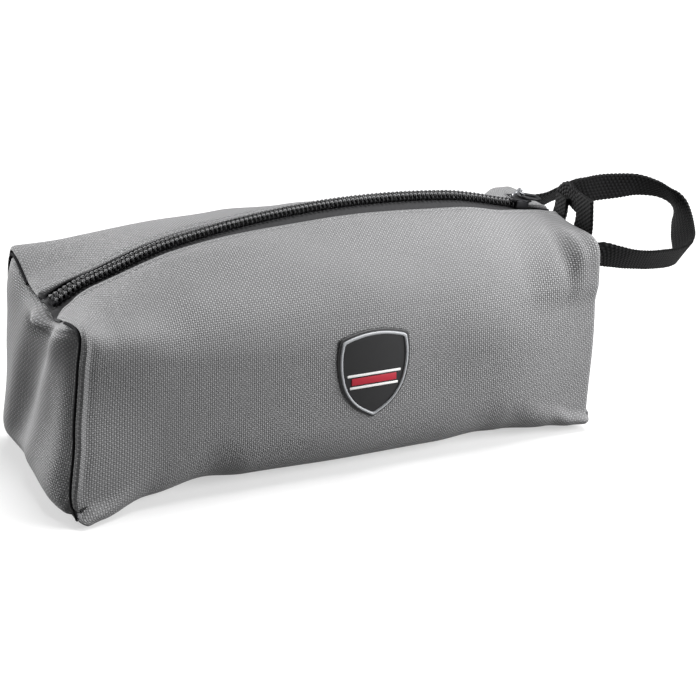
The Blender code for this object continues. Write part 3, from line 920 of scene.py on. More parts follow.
@dataclass(frozen=True)
class PouchForm:
    """Sizes of the sewn pouch and the relief of its slack cloth, in millimetres.

    Tables are read along the pouch, and the bows up an end seam. A row of a section is x, the shoulder's
    height, the power of its curve, the height where the wall starts to lean in, the share of soft curve,
    and how far the mouth's edge hangs below the chain. Relief is read at x and at s, the way from the fold
    line, up the roof above 0 and down the wall below 0.
    """

    half_length: float = 120
    half_width: float = 48
    fold: float = 72
    flat_edge: float = 13.8
    chain_radius: float = 404
    chain_peak_x: float = 14
    chain_peak: float = 104.5
    chain_lift: float = 2.3
    lift_span: Span = (66, 100)
    cloth: float = 0.8
    seam_roll: float = 1.8
    lip_nose: float = 0.85
    hang_span: Span = (2.4, 8)
    section_start: float = 36
    soft_bulge: float = 0.4
    soft_lean: float = 0.56
    front_shoulder: Span = (0.5, 0.1)
    back_shoulder: Span = (0.4, 0.13)
    curve_points: int = 90
    line_points: int = 260
    lower_points: int = 180
    front_corners: Table = (
        (-120, 5), (-112, 8), (-90, 17), (-62, 28), (-45, 23), (0, 21), (45, 22), (66, 25), (78, 22),
        (100, 13), (112, 7), (120, 5))
    back_corners: Table = (
        (-120, 5), (-110, 8), (-84, 18), (-30, 22), (20, 25), (52, 21), (88, 17), (112, 8), (120, 5))
    front_section: Table = (
        (-120, 87.5, 0.44, 74, 0, -0.1), (-104, 86.5, 0.6, 70, 0.35, -0.2), (-70, 86, 0.8, 64, 1, 0.3),
        (0, 86, 0.86, 58, 1, 2.4), (50, 86, 0.86, 52, 1, 3), (84, 86, 0.72, 49, 1, 2),
        (104, 88.5, 0.5, 54, 0.6, 0.8), (113, 91.5, 0.4, 60, 0.12, 0.8), (120, 92.6, 0.34, 64, 0, 0.8))
    back_section: Table = (
        (-120, 91.5, 0.36, 74, 0, 0.3), (-60, 96, 0.45, 72, 0, 0.5), (-30, 95.4, 0.5, 68, 0.1, 1.4),
        (-4, 89, 0.7, 64, 0.6, 3), (24, 86, 0.8, 60, 1, 4), (84, 86, 0.62, 58, 0.7, 3.6),
        (104, 87.6, 0.5, 60, 0.25, 2), (112, 89.2, 0.42, 60, 0.03, 1.8), (120, 88.2, 0.36, 60, 0, 1.5))
    front_edge: Table = (
        (-120, 13.5), (-115, 8.8), (-108, 7.2), (-98, 6.9), (-50, 7.4), (0, 8.5), (82, 8.5), (101, 6.2),
        (112, 4.6), (120, 4.2))
    back_edge: Table = ((-120, 8.5), (82, 8.5), (101, 6.4), (112, 5.2), (120, 5))
    corner_shifts: tuple[CornerShift, ...] = (
        CornerShift(End.LEFT, Side.FRONT, False, 34, (-3, -10, 0)),
        CornerShift(End.LEFT, Side.BACK, True, 24, (-0.8, 0.7, 1.5)),
        CornerShift(End.RIGHT, Side.FRONT, False, 70, (-1.6, 0.6, 2)),
        CornerShift(End.RIGHT, Side.FRONT, True, 24, (-0.6, 0, 0)))
    shift_start: float = -10
    top_shift: Span = (30, 80)
    bottom_shift: Span = (4, 60)
    front_bow: Table = ((0, -0.5), (5, -4.2), (14, -5.3), (38, -4.1), (65, -2.1), (86, 0))
    back_bow: Table = ((0, -2.4), (20, -2.6), (45, -2), (70, -1), (88, -0.2))
    bow_span: Span = (-120, -86)
    bow_turn: float = 44
    end_dip: float = 4
    dip_y: float = -5
    dip_width: float = 11
    dip_span: Span = (-122, -102)
    dip_rise: Span = (50, 76)
    floor_gap: float = 0.05
    bead: Triple = (1.0, 1.7, 1.1)
    bead_groove: Triple = (-0.5, 4.4, 1.2)
    wall_way: float = 70
    wall_blend: Span = (0, 12)
    low_wall: Span = (30, 66)
    front_crown: float = 0.9
    back_crown: float = 1.0
    left_pull: Span = (1.8, 3.2)
    left_pull_span: Span = (-118, -88)
    right_pull: float = 3.6
    right_pull_span: Span = (70, 121)
    back_pull: float = 2.6
    back_pull_reach: float = 30
    roof_pull: float = 0.25
    right_roof_pull: float = 0.08
    front_bumps: tuple[Bump, ...] = (Bump(1.3, 76, 24, -26, 24), Bump(-0.9, 42, 16, -18, 18))
    back_bumps: tuple[Bump, ...] = (Bump(1.1, -52, 30, -30, 24), Bump(-0.9, 6, 20, -40, 26))
    front_drag: Crease = Crease(0.35, -25, -48, (0.55, 0.83), 5, 42)
    back_drag: Crease = Crease(0.5, 60, -40, (0.5, -0.86), 6, 40)
    front_wave: Triple = (0.35, 11.5, 9)
    back_wave: Triple = (0.3, 13, -10)
    wave_rise: Span = (4, 26)
    wave_end: Span = (96, 116)

    def chain_height(self, x: Number) -> Number:
        """Height of the fabric beside the zipper, a little fuller between the ends than the slider's arc."""
        low, high = self.lift_span
        return self.chain_arc(x) + self.chain_lift * ease(x, -high, -low) * (1 - ease(x, low, high))

    def chain_arc(self, x: Number) -> Number:
        """Height of the arc that the slider follows."""
        return self.chain_peak - self.chain_radius + np.sqrt(
            self.chain_radius ** 2 - (x - self.chain_peak_x) ** 2)

    def chain_tilt(self, x: float) -> float:
        """Angle in radians by which the arc slopes down at x."""
        return math.asin((x - self.chain_peak_x) / self.chain_radius)

    def section(self, side: Side, x: float) -> tuple[float, ...]:
        """The shape of one side's upper part at x, as a section's row has it after its x."""
        table = self.front_section if side is Side.FRONT else self.back_section
        return tuple(float(smooth_table(x, table, column)) for column in range(1, len(table[0])))

    def lip_edge(self, side: Side, x: float) -> float:
        """Distance of the mouth's folded edge from the middle, at the middle of its fold."""
        table = self.front_edge if side is Side.FRONT else self.back_edge
        return float(smooth_table(x, table)) + self.lip_nose

    def half_roof(self, side: Side, x: float, distance: Number) -> Number:
        """Height of one side's upper surface.

        Args:
            side: Which long side.
            x: Place along the pouch.
            distance: Distance from the pouch's middle.

        Returns:
            The height there.
        """
        shoulder, power, _, _, hang = self.section(side, x)
        inward = (self.half_width - np.maximum(distance, self.flat_edge)) / (self.half_width - self.flat_edge)
        angle = np.arccos(np.minimum(1, (1 - inward) ** (1 / power)))
        rise = (shoulder - self.fold) * np.sin(angle) ** power
        middle = self.chain_height(x) - hang * ease(distance, *self.hang_span)
        return self.fold + rise + (middle - shoulder) * inward ** 2 * (3 - 2 * inward)

    def roof_height(self, x: float, y: Number) -> Number:
        """Height of the upper surface at x and y."""
        return np.where(np.less(y, 0), self.half_roof(Side.FRONT, x, np.abs(y)),
                        self.half_roof(Side.BACK, x, np.abs(y)))

    def upper_line(self, side: Side, x: float) -> np.ndarray:
        """Dense line from the lower wall up to the zipper's edge, part boxed shoulder and part soft curve.

        Args:
            side: Which long side.
            x: Place along the pouch.

        Returns:
            Points of |y| and z.
        """
        _, power, start, soft_share, _ = self.section(side, x)
        foot = [self.half_width, self.section_start]
        angle = np.linspace(0, 1, self.curve_points) ** 1.5 * math.pi / 2
        y = self.flat_edge + (self.half_width - self.flat_edge) * np.cos(angle) ** power
        boxy = np.vstack([foot, np.stack([y, self.half_roof(side, x, y)], 1)])
        top = float(self.half_roof(side, x, self.flat_edge))
        wide = self.half_width + self.soft_bulge
        reach, fall = self.front_shoulder if side is Side.FRONT else self.back_shoulder
        corners = np.array([(wide, start), (wide, start + self.soft_lean * (top - start)),
                            (self.flat_edge + reach * (wide - self.flat_edge), top - fall * (top - start)),
                            (self.flat_edge, top)])
        soft = np.vstack([foot, cubic(corners, self.curve_points)])
        mixed = ((1 - soft_share) * spread(boxy, self.line_points)
                 + soft_share * spread(soft, self.line_points))
        edge = self.lip_edge(side, x)
        if edge > self.flat_edge:
            return mixed[mixed[:, 0] > edge]
        flat = np.linspace(self.flat_edge, edge, 8)[1:]
        return np.vstack([mixed, np.stack([flat, self.half_roof(side, x, flat)], 1)])

    def fold_way(self, line: np.ndarray) -> float:
        """Way along an upper line to the fold line's height."""
        return np.interp(self.fold, line[:self.lower_points, 1], walk(line)[:self.lower_points])

    def roof_line(self, side: Side, x: float) -> np.ndarray:
        """Dense line of |y| and z from the fold line up to the zipper's edge at x."""
        line = self.upper_line(side, x)
        return resample(line, np.linspace(self.fold_way(line), walk(line)[-1], 220))

    def settle_corners(self, points: np.ndarray) -> np.ndarray:
        """Move the stuffed corners and end seams to where the slack cloth lets them sit.

        Args:
            points: Points in millimetres.

        Returns:
            The moved points.
        """
        x, y, z = points[..., 0], points[..., 1], points[..., 2]
        moved = points.copy()
        for corner in self.corner_shifts:
            near_x = ease(corner.end.value * x, self.half_length - corner.reach, self.half_length)
            near_y = ease(corner.side.value * y, self.shift_start, self.half_width)
            near_z = ease(z, *self.top_shift) if corner.top else 1 - ease(z, *self.bottom_shift)
            moved += (near_x * near_y * near_z)[..., None] * np.array(corner.shift)
        back = ease(y, -self.bow_turn, self.bow_turn)
        bow = (1 - back) * smooth_table(z, self.front_bow) + back * smooth_table(z, self.back_bow)
        moved[..., 0] += (1 - ease(x, *self.bow_span)) * bow
        dip = bell(y - self.dip_y, self.dip_width) * (1 - ease(x, *self.dip_span)) * ease(z, *self.dip_rise)
        moved[..., 2] = np.maximum(moved[..., 2] - self.end_dip * dip, self.floor_gap)
        return moved

    def roll(self, x: float, beaded: Number) -> Number:
        """How far the cloth rolls in towards the end seams.

        Args:
            x: Place along the pouch.
            beaded: Share of the rolled bead that the left seam pushes up beside itself.

        Returns:
            The outward shift.
        """
        inset = self.half_length - abs(x)
        turn = min(max(self.seam_roll - inset, 0), self.seam_roll)
        drop = self.seam_roll - math.sqrt(self.seam_roll ** 2 - turn ** 2)
        if x > 0:
            return -drop
        raised = sum(height * bell(inset - place, width)
                     for height, place, width in (self.bead, self.bead_groove))
        return -drop + beaded * raised

    def front_relief(self, x: Number, s: Number) -> Number:
        """How far the front stands out of its flat shape.

        Args:
            x: Place along the pouch.
            s: Way from the fold line.

        Returns:
            The relief, outwards.
        """
        wall = ease(-s, *self.wall_blend)
        low = ease(-s, *self.low_wall)
        depth, low_depth = self.left_pull
        left = (depth + low_depth * low) * (1 - ease(x, *self.left_pull_span))
        left = left * (self.roof_pull + (1 - self.roof_pull) * wall)
        right = self.right_pull * ease(x, *self.right_pull_span)
        right = right * (self.right_roof_pull + (1 - self.right_roof_pull) * wall)
        swell = sum(bump.at(x, s) for bump in self.front_bumps) + self.front_drag.at(x, s) * low
        return self.crown(self.front_crown, s) - left - right + swell + self.ripple(self.front_wave, x, s)

    def back_relief(self, x: Number, s: Number) -> Number:
        """How far the back stands out of its flat shape.

        Args:
            x: Place along the pouch.
            s: Way from the fold line.

        Returns:
            The relief, outwards.
        """
        wall = ease(-s, *self.wall_blend)
        pull = self.back_pull * (1 - ease(self.half_length - np.abs(x), 0, self.back_pull_reach))
        pull = pull * (self.roof_pull + (1 - self.roof_pull) * wall)
        swell = sum(bump.at(x, s) for bump in self.back_bumps) + self.back_drag.at(x, s)
        return self.crown(self.back_crown, s) - pull + swell + self.ripple(self.back_wave, x, s)

    def crown(self, height: float, s: Number) -> Number:
        """Gentle outward bow of a wall between its fold line and its foot."""
        return height * np.sin(np.clip(-s / self.wall_way, 0, 1) * math.pi)

    def ripple(self, wave: Triple, x: Number, s: Number) -> Number:
        """Low ripples of the roof that fade at the fold and the end seams.

        Args:
            wave: Height of the ripples, and their lengths along the pouch and up the roof.
            x: Place along the pouch.
            s: Way from the fold line.

        Returns:
            The relief, outwards.
        """
        height, length, slant = wave
        inside = ease(s, *self.wave_rise) * (1 - ease(np.abs(x), *self.wave_end))
        return height * np.sin(x / length + s / slant) * inside

    def relief(self, side: Side, x: Number, s: Number) -> Number:
        """Relief of one long side."""
        return self.front_relief(x, s) if side is Side.FRONT else self.back_relief(x, s)

    def places(self, start: float, end: float, step: float = 1.5) -> np.ndarray:
        """Places along the pouch, close together by the end seams.

        Args:
            start: The first place.
            end: The last place.
            step: Rough distance between places away from the seams.

        Returns:
            The places, in rising order.
        """
        fine = np.array([0, 0.25, 0.55, 0.9, 1.4, 2, 2.7, 3.4, 4.1])
        inner = self.half_length - 5
        middle = np.linspace(-inner, inner, round(2 * inner / step) + 1)
        every = np.concatenate([fine - self.half_length, middle, self.half_length - fine[::-1]])
        kept = every[(every > start + 0.1) & (every < end - 0.1)]
        return np.concatenate([[start], kept, [end]])


@dataclass(frozen=True)
class EndForm:
    """How the end panels' slack cloth stands out past the seam planes, in millimetres.

    Gaps are measured on the panel from its side, lower and upper edges.
    """

    edge_reach: Triple = (8, 3.5, 12)
    groove: Span = (-3, 1.7)
    second_groove: Triple = (-0.5, 4, 1.3)
    right_pillow: float = 3.6
    right_crease: Crease = Crease(0.8, -14, 60, (0.9, 0.3), 6)
    right_crease_span: Span = (0, 20)
    left_pillow: float = 3.4
    back_pillow: Triple = (1.4, 30, 20)
    pleat_top: float = 82
    pleat_fall: float = 72
    pleat_foot: Span = (0, 14)
    ridge: Pleat = Pleat(2.6, -28, 26, 9, 0.3)
    valley: Pleat = Pleat(-2.9, -12, 31, 9, 0.35)
    valley_span: Span = (-1, 16)
    second_ridge: Pleat = Pleat(1.6, 9, 24, 8)
    front_dip: Pleat = Pleat(-4.4, -43, 0, 7.5)
    back_fill: float = 2.5
    back_fill_span: Span = (6, 38)
    top_bumps: tuple[Bump, ...] = (
        Bump(2.0, -25, 10, 7, 9), Bump(5.4, 1, 6.5, 4.6, 3.2), Bump(-2.6, 2, 7, 11.5, 3))
    belly: Bump = Bump(6.5, 0, math.inf, 2, 20)
    belly_span: Span = (-30, 46)
    belly_fading: float = 0.7

    def right(self, y: np.ndarray, z: np.ndarray, gaps: Sequence[np.ndarray]) -> np.ndarray:
        """The right panel: a low pillow with one crease.

        Args:
            y: Places across.
            z: Heights.
            gaps: Gaps from the side, lower and upper edges.

        Returns:
            Outward distance from the seam plane.
        """
        crease = self.right_crease.at(y, z) * ease(gaps[2], *self.right_crease_span)
        return self.right_pillow * self.pillow(gaps) + self.seam_groove(gaps) + crease

    def left(self, y: np.ndarray, z: np.ndarray, gaps: Sequence[np.ndarray]) -> np.ndarray:
        """The left panel: a full belly, leaning pleats and a tuft under the zipper's closed end.

        Args:
            y: Places across.
            z: Heights.
            gaps: Gaps from the side, lower and upper edges.

        Returns:
            Outward distance from the seam plane.
        """
        side_gap, low_gap, high_gap = gaps
        fall = (self.pleat_top - z) / self.pleat_fall
        foot = ease(low_gap, *self.pleat_foot)
        pleats = (self.ridge.at(y, fall) + self.valley.at(y, fall) * ease(high_gap, *self.valley_span)
                  + self.second_ridge.at(y, fall) + self.front_dip.at(y, fall)) * foot
        back_fill = self.back_fill * filled(side_gap, 2) * ease(y, *self.back_fill_span)
        back_fill = back_fill * filled(high_gap + 0.5, 3) * filled(low_gap + 0.2, 2)
        bumps = sum(bump.at(y, high_gap) for bump in self.top_bumps)
        belly = self.belly.at(y, z) * filled(low_gap + 0.2, 1.3) * filled(side_gap, 3)
        belly = belly * (1 - self.belly_fading * ease(y, *self.belly_span))
        height, place, width = self.back_pillow
        pillow = (self.left_pillow + height * bell(y - place, width)) * self.pillow(gaps)
        return pillow + belly + self.seam_groove(gaps) + back_fill + pleats + bumps

    def pillow(self, gaps: Sequence[np.ndarray]) -> np.ndarray:
        """Share of a pillow's full height."""
        return math.prod(filled(gap, reach) for gap, reach in zip(gaps, self.edge_reach))

    def seam_groove(self, gaps: Sequence[np.ndarray]) -> np.ndarray:
        """The groove in which the panel's edge is sewn, and the soft one inside it.

        Args:
            gaps: Gaps from the side, lower and upper edges.

        Returns:
            The relief, outwards.
        """
        near = np.minimum(np.minimum(gaps[0], gaps[1]), gaps[2])
        depth, width = self.groove
        soft_depth, inset, soft_width = self.second_groove
        return depth * bell(near, width) + soft_depth * bell(near - inset, soft_width)


@dataclass
class PouchCloth:
    """The sewn grey cloth: the wrap of walls and bottom, the two mouth flaps and the two end panels."""

    form: PouchForm
    palette: Palette
    ends: EndForm = EndForm()
    side_rows: int = 46
    corner_rows: int = 16
    bottom_rows: int = 18
    flap_rows: int = 56
    tongue: tuple[float, ...] = (-3, -2, -1.2, -0.6)
    tongue_sink: tuple[float, ...] = (1.1, 0.6, 0.25, 0.06)
    bottom_lift: float = 0.8
    turning: Table = ((4.6, 3.6), (2.4, 1.5), (0.9, 0.3))
    back_turning: float = 0.2
    back_bead: float = 0.2
    lip_edge_places: tuple[float, ...] = (4.2, 3.4, 2.8, 2.3, 1.9, 1.5, 1.1, 0.7, 0.35, 0)
    lip_under: tuple[float, ...] = (1.5, 4, 7)
    lip_thickness: float = 0.75
    stitch_dent: Triple = (-0.28, 2.3, 0.55)
    stitch_ridge: Triple = (0.12, 1.1, 0.7)
    end_tuck: float = 3.2
    end_tuck_span: Span = (108, 120)
    panel_inset: float = 1.2
    panel_corner: float = 4.5
    panel_plane: float = 0.8
    binding_reach: Span = (11.5, 2.2)
    binding_scale: float = 0.92
    binding_thickness: float = 0.9
    # Black tube in the seam groove: partly piping, partly painted shade of the groove.
    piping_and_seam_shade_radius: float = 0.85
    left_welt: Span = (0.955, -0.2)
    right_welt: Span = (0.92, 3.4)

    def wall_line(self, side: Side, x: float) -> tuple[np.ndarray, np.ndarray]:
        """Half section of the wrap at x, with a hidden tongue above the fold line.

        Args:
            side: Which long side.
            x: Place along the pouch.

        Returns:
            Points of |y| and z from the tongue to the bottom's middle, and the way from the fold line.
        """
        form = self.form
        radius = smooth_table(x, form.front_corners if side is Side.FRONT else form.back_corners)
        straight = form.half_width - radius
        upper = form.upper_line(side, x)
        angle = np.linspace(0, math.pi / 2, self.corner_rows + 1)
        corner = np.stack([straight + radius * np.cos(angle), radius - radius * np.sin(angle)], 1)
        inner = np.linspace(straight, 0, self.bottom_rows + 1)[1:]
        lift = self.bottom_lift * ease(straight - inner, 0, 18) * (1 - ease(abs(x), 100, form.half_length))
        down = np.vstack([upper[:form.lower_points][::-1], corner, np.stack([inner, lift], 1)])
        height = walk(upper)[form.lower_points - 1]
        start = height - form.fold_way(upper)
        to_corner = height + form.section_start - radius
        way = np.concatenate([start + np.array(self.tongue), np.linspace(start, to_corner, self.side_rows),
                              to_corner + radius * angle[1:],
                              to_corner + radius * math.pi / 2 + (straight - inner)])
        points = resample(down, way)
        way = way - start
        corner_way = to_corner - start
        fade = 1 - ease(way, corner_way - radius * 0.2, corner_way + radius * 0.5)
        sink = np.concatenate([np.array(self.tongue_sink), np.zeros(len(way) - len(self.tongue))])
        bead = 1.0 if side is Side.FRONT else self.back_bead
        beaded = (1 - ease(way, corner_way - 16, corner_way - 3)) * bead
        shift = form.relief(side, np.full(len(points), x), -way) * fade + form.roll(x, beaded) - sink
        return points + line_normals(points) * shift[:, None], way

    def wrap(self) -> bpy.types.Object:
        """Front wall, bottom and back wall in one sheet.

        Returns:
            The finished piece.
        """
        form = self.form
        rings = []
        cloth = []
        for x in form.places(-form.half_length, form.half_length):
            front, front_way = self.wall_line(Side.FRONT, x)
            back, back_way = self.wall_line(Side.BACK, x)
            ring = np.concatenate([np.stack([-front[:, 0], front[:, 1]], 1), back[-2::-1]])
            total = front_way[-1] + back_way[-1]
            way = np.concatenate([-front_way, -(total - back_way[-2::-1])])
            rings.append(np.column_stack([np.full(len(ring), x), ring]))
            cloth.append(np.column_stack([np.full(len(ring), x), way]))
        points, cloth = self.add_turnings(form.settle_corners(np.stack(rings, 1)), np.stack(cloth, 1))
        item = cloth_grid("body_panel_cloth", points, cloth, self.palette.fabric, flip=True)
        return thicken(item, form.cloth, (self.palette.lining, self.palette.binding))

    def add_turnings(self, points: np.ndarray, cloth: np.ndarray) -> tuple[np.ndarray, np.ndarray]:
        """Continue both ends of a grid inwards as the seam's turned-in edge.

        Args:
            points: The grid's points.
            cloth: Their places on the cloth.

        Returns:
            The longer grid and its places on the cloth.
        """
        centre = np.array([0, 0, 42])
        parts = [points]
        cloth_parts = [cloth]
        for edge, sign, sunk in ((0, 1, 1), (-1, -1, self.back_turning)):
            rim = points[:, edge]
            inward = unit((centre - rim) * np.array([0, 1, 1]))
            rows = [rim + inward * depth + np.array([sign * shift * sunk, 0, 0])
                    for depth, shift in self.turning]
            cloth_rows = [cloth[:, edge] + np.array([-sign * depth, 0]) for depth, _ in self.turning]
            place = 0 if edge == 0 else len(parts)
            step = 1 if edge == 0 else -1
            parts.insert(place, np.stack(rows[::step], 1))
            cloth_parts.insert(place, np.stack(cloth_rows[::step], 1))
        return np.concatenate(parts, 1), np.concatenate(cloth_parts, 1)

    def flap_line(self, side: Side, x: float) -> tuple[np.ndarray, np.ndarray]:
        """Section of one flap at x: up the roof, round the folded edge and back under it.

        Args:
            side: Which long side.
            x: Place along the pouch.

        Returns:
            Points of |y| and z from the fold, and the way of each from the fold.
        """
        form = self.form
        line = form.roof_line(side, x)
        total = walk(line)[-1]
        edge = np.array(self.lip_edge_places)
        rise = np.linspace(2, total - edge[0], self.flap_rows)[:-1]
        way = np.concatenate([[0, 0.6, 1.2], rise, total - edge])
        points = resample(line, way)
        drop = np.array([2.4, 1.2, 0.6])
        below = points[0] + (points[0] - points[1]) / 0.6 * drop[:, None]
        points = np.vstack([below, points])
        way = np.concatenate([-drop, way])
        inset = total - way
        stitch = sum(height * bell(inset - place, width)
                     for height, place, width in (self.stitch_dent, self.stitch_ridge))
        sink = np.concatenate([[0.6, 0.22, 0.05], np.zeros(len(way) - 3)])
        beaded = (1 - ease(way, 2, 11)) * (1.0 if side is Side.FRONT else self.back_bead)
        shift = form.relief(side, np.full(len(way), x), way) * ease(inset, 1, 12) + stitch - sink
        shift = shift + form.roll(x, beaded)
        points = points - line_normals(points) * shift[:, None]
        tip = points[-1]
        nose_radius = form.lip_nose
        angle = np.linspace(0, math.pi, 7)[1:]
        nose = np.stack([tip[0] - nose_radius * np.sin(angle),
                         tip[1] - nose_radius + nose_radius * np.cos(angle)], 1)
        under = np.stack([tip[0] + np.array(self.lip_under), np.full(3, tip[1] - 1.72)], 1)
        under[:, 1] += form.half_roof(side, x, under[:, 0]) - form.half_roof(side, x, tip[0])
        extra_way = total + np.concatenate([angle * nose_radius, 2.7 + np.array(self.lip_under)])
        return np.concatenate([points, nose, under]), np.concatenate([way, extra_way])

    def flap(self, side: Side, end: End) -> bpy.types.Object:
        """Half of one mouth flap, from mid-length to an end seam.

        Args:
            side: Which long side.
            end: Which half.

        Returns:
            The finished piece.
        """
        form = self.form
        columns = form.places(*sorted((0, end.value * form.half_length)))
        lines = [self.flap_line(side, x) for x in columns]
        points = np.stack([np.column_stack([np.full(len(line), x), line[:, 0] * side.value, line[:, 1]])
                           for x, (line, _) in zip(columns, lines)], 1)
        points = form.settle_corners(points)
        tucked = np.concatenate([np.linspace(0.2, 1, 5), np.ones(4)])[:, None]
        tuck = self.end_tuck * tucked * ease(np.abs(columns), *self.end_tuck_span)
        points[-len(tucked):, :, 0] -= end.value * tuck
        cloth = np.stack([np.column_stack([np.full(len(way), x), way])
                          for x, (_, way) in zip(columns, lines)], 1)
        name = f"{side.word}_flap_cloth_{end.word}"
        item = cloth_grid(name, points, cloth, self.palette.fabric, flip=side is Side.BACK)
        return thicken(item, self.lip_thickness, (self.palette.lining, self.palette.binding))

    def end_panel(self, end: End) -> bpy.types.Object:
        """End panel: a cushioned sheet whose edges turn into the seam groove.

        Args:
            end: Which end.

        Returns:
            The finished piece.
        """
        form = self.form
        x_seam = end.value * form.half_length
        half = form.half_width - self.panel_inset
        radius = self.panel_corner
        turn = np.linspace(-1, 1, 85)
        y = half * np.sin(turn * math.pi / 2) * 0.35 + half * turn * 0.65
        corner = np.maximum(np.abs(y) - (half - radius), 0)
        low = form.seam_roll + self.panel_inset + radius - np.sqrt(np.maximum(radius ** 2 - corner ** 2, 0))
        limit = form.half_width - 1e-6
        roof = form.roof_height(x_seam, np.clip(y * form.half_width / half, -limit, limit))
        high = np.maximum(roof - form.seam_roll - self.panel_inset * 0.8, low + 20)
        share = np.linspace(-1, 1, 91)
        share = (np.sin(share * math.pi / 2) * 0.35 + share * 0.65 + 1) / 2
        z = low + (high - low) * share[:, None]
        y_grid = np.broadcast_to(y, z.shape)
        gaps = (half - np.abs(y_grid), z - low, high - z)
        relief = self.ends.left if end is End.LEFT else self.ends.right
        x = end.value * (form.half_length - self.panel_plane + relief(y_grid, z, gaps))
        edges = []
        for side in Side:
            wall, _ = self.wall_line(side, x_seam)
            wall = wall[len(self.tongue): len(self.tongue) + self.side_rows + 2][::-1]
            edges.append(np.interp(z, wall[:, 1], wall[:, 0]) - self.panel_inset)
        reach = np.where(y_grid < 0, edges[0], edges[1])
        points = form.settle_corners(np.stack([x, y_grid / half * reach, z], -1))
        item = cloth_grid(f"{end.word}_end_panel_cloth", points, np.stack([y_grid, z], -1),
                          self.palette.fabric, flip=end is End.LEFT)
        return thicken(item, form.cloth, (self.palette.lining, self.palette.binding))

    def ring(self, x: float, scale: float) -> np.ndarray:
        """Closed section of the pouch at x, drawn in towards its middle.

        Args:
            x: Place along the pouch.
            scale: Share of the section's own size.

        Returns:
            Points from the front of the zipper round the bottom to its back.
        """
        halves = []
        for side in Side:
            wall, _ = self.wall_line(side, x)
            flap, _ = self.flap_line(side, x)
            whole = np.concatenate([flap[4: self.flap_rows - 4][::-1], wall[len(self.tongue) + 1:]])
            halves.append(resample(whole, np.linspace(0, walk(whole)[-1], 60)) * np.array([side.value, 1]))
        both = np.concatenate([halves[0], halves[1][-2::-1]])
        middle = np.array([0, 43])
        both = middle + (both - middle) * scale
        return self.form.settle_corners(np.column_stack([np.full(len(both), x), both]))

    def binding(self, end: End) -> bpy.types.Object:
        """Tape folded over the raw edges of one end seam, with a black tube in the seam groove that is partly
        piping and partly painted shade of the groove.

        Args:
            end: Which end.

        Returns:
            The finished piece.
        """
        form = self.form
        inner_x, outer_x = (end.value * (form.half_length - reach) for reach in self.binding_reach)
        width = self.binding_reach[0] - self.binding_reach[1]
        shares = np.linspace(0, 1, 9)
        points = np.stack([self.ring(inner_x + (outer_x - inner_x) * share,
                                     self.binding_scale - 0.01 * math.sin(share * math.pi))
                           for share in shares], 1)
        cloth = np.stack([np.column_stack([np.full(len(points), share * width), walk(points[:, 0])])
                          for share in shares], 1)
        name = f"{end.word}_binding_tape"
        tape = cloth_grid(name, points, cloth, self.palette.binding, flip=end is End.RIGHT)
        tape = thicken(tape, self.binding_thickness, offset=1)
        # The black tube along the seam stands partly for piping and partly for painted shade in the groove.
        scale, inset = self.left_welt if end is End.LEFT else self.right_welt
        path = self.ring(end.value * (form.half_length - 0.2), scale)
        path[:, 0] -= end.value * inset
        piping_and_seam_shade = tube(f"{end.word}_welt", [path], self.piping_and_seam_shade_radius, self.palette.matt_black, sides=2)
        return join(name, [tape, piping_and_seam_shade])

    def build(self) -> None:
        """Make and attach every cloth piece."""
        attach(self.wrap(), "woven_fabric", ["body_panel"], "shell")
        for end in End:
            attach(self.end_panel(end), "woven_fabric", [f"{end.word}_end_panel"], "shell")
            attach(self.binding(end), "binding_tape", [f"{end.word}_binding"], "shell")
        for side in Side:
            for end in End:
                flap = self.flap(side, end)
                bend_to_lip(flap)
                attach(flap, "woven_fabric", [f"{side.word}_flap"])


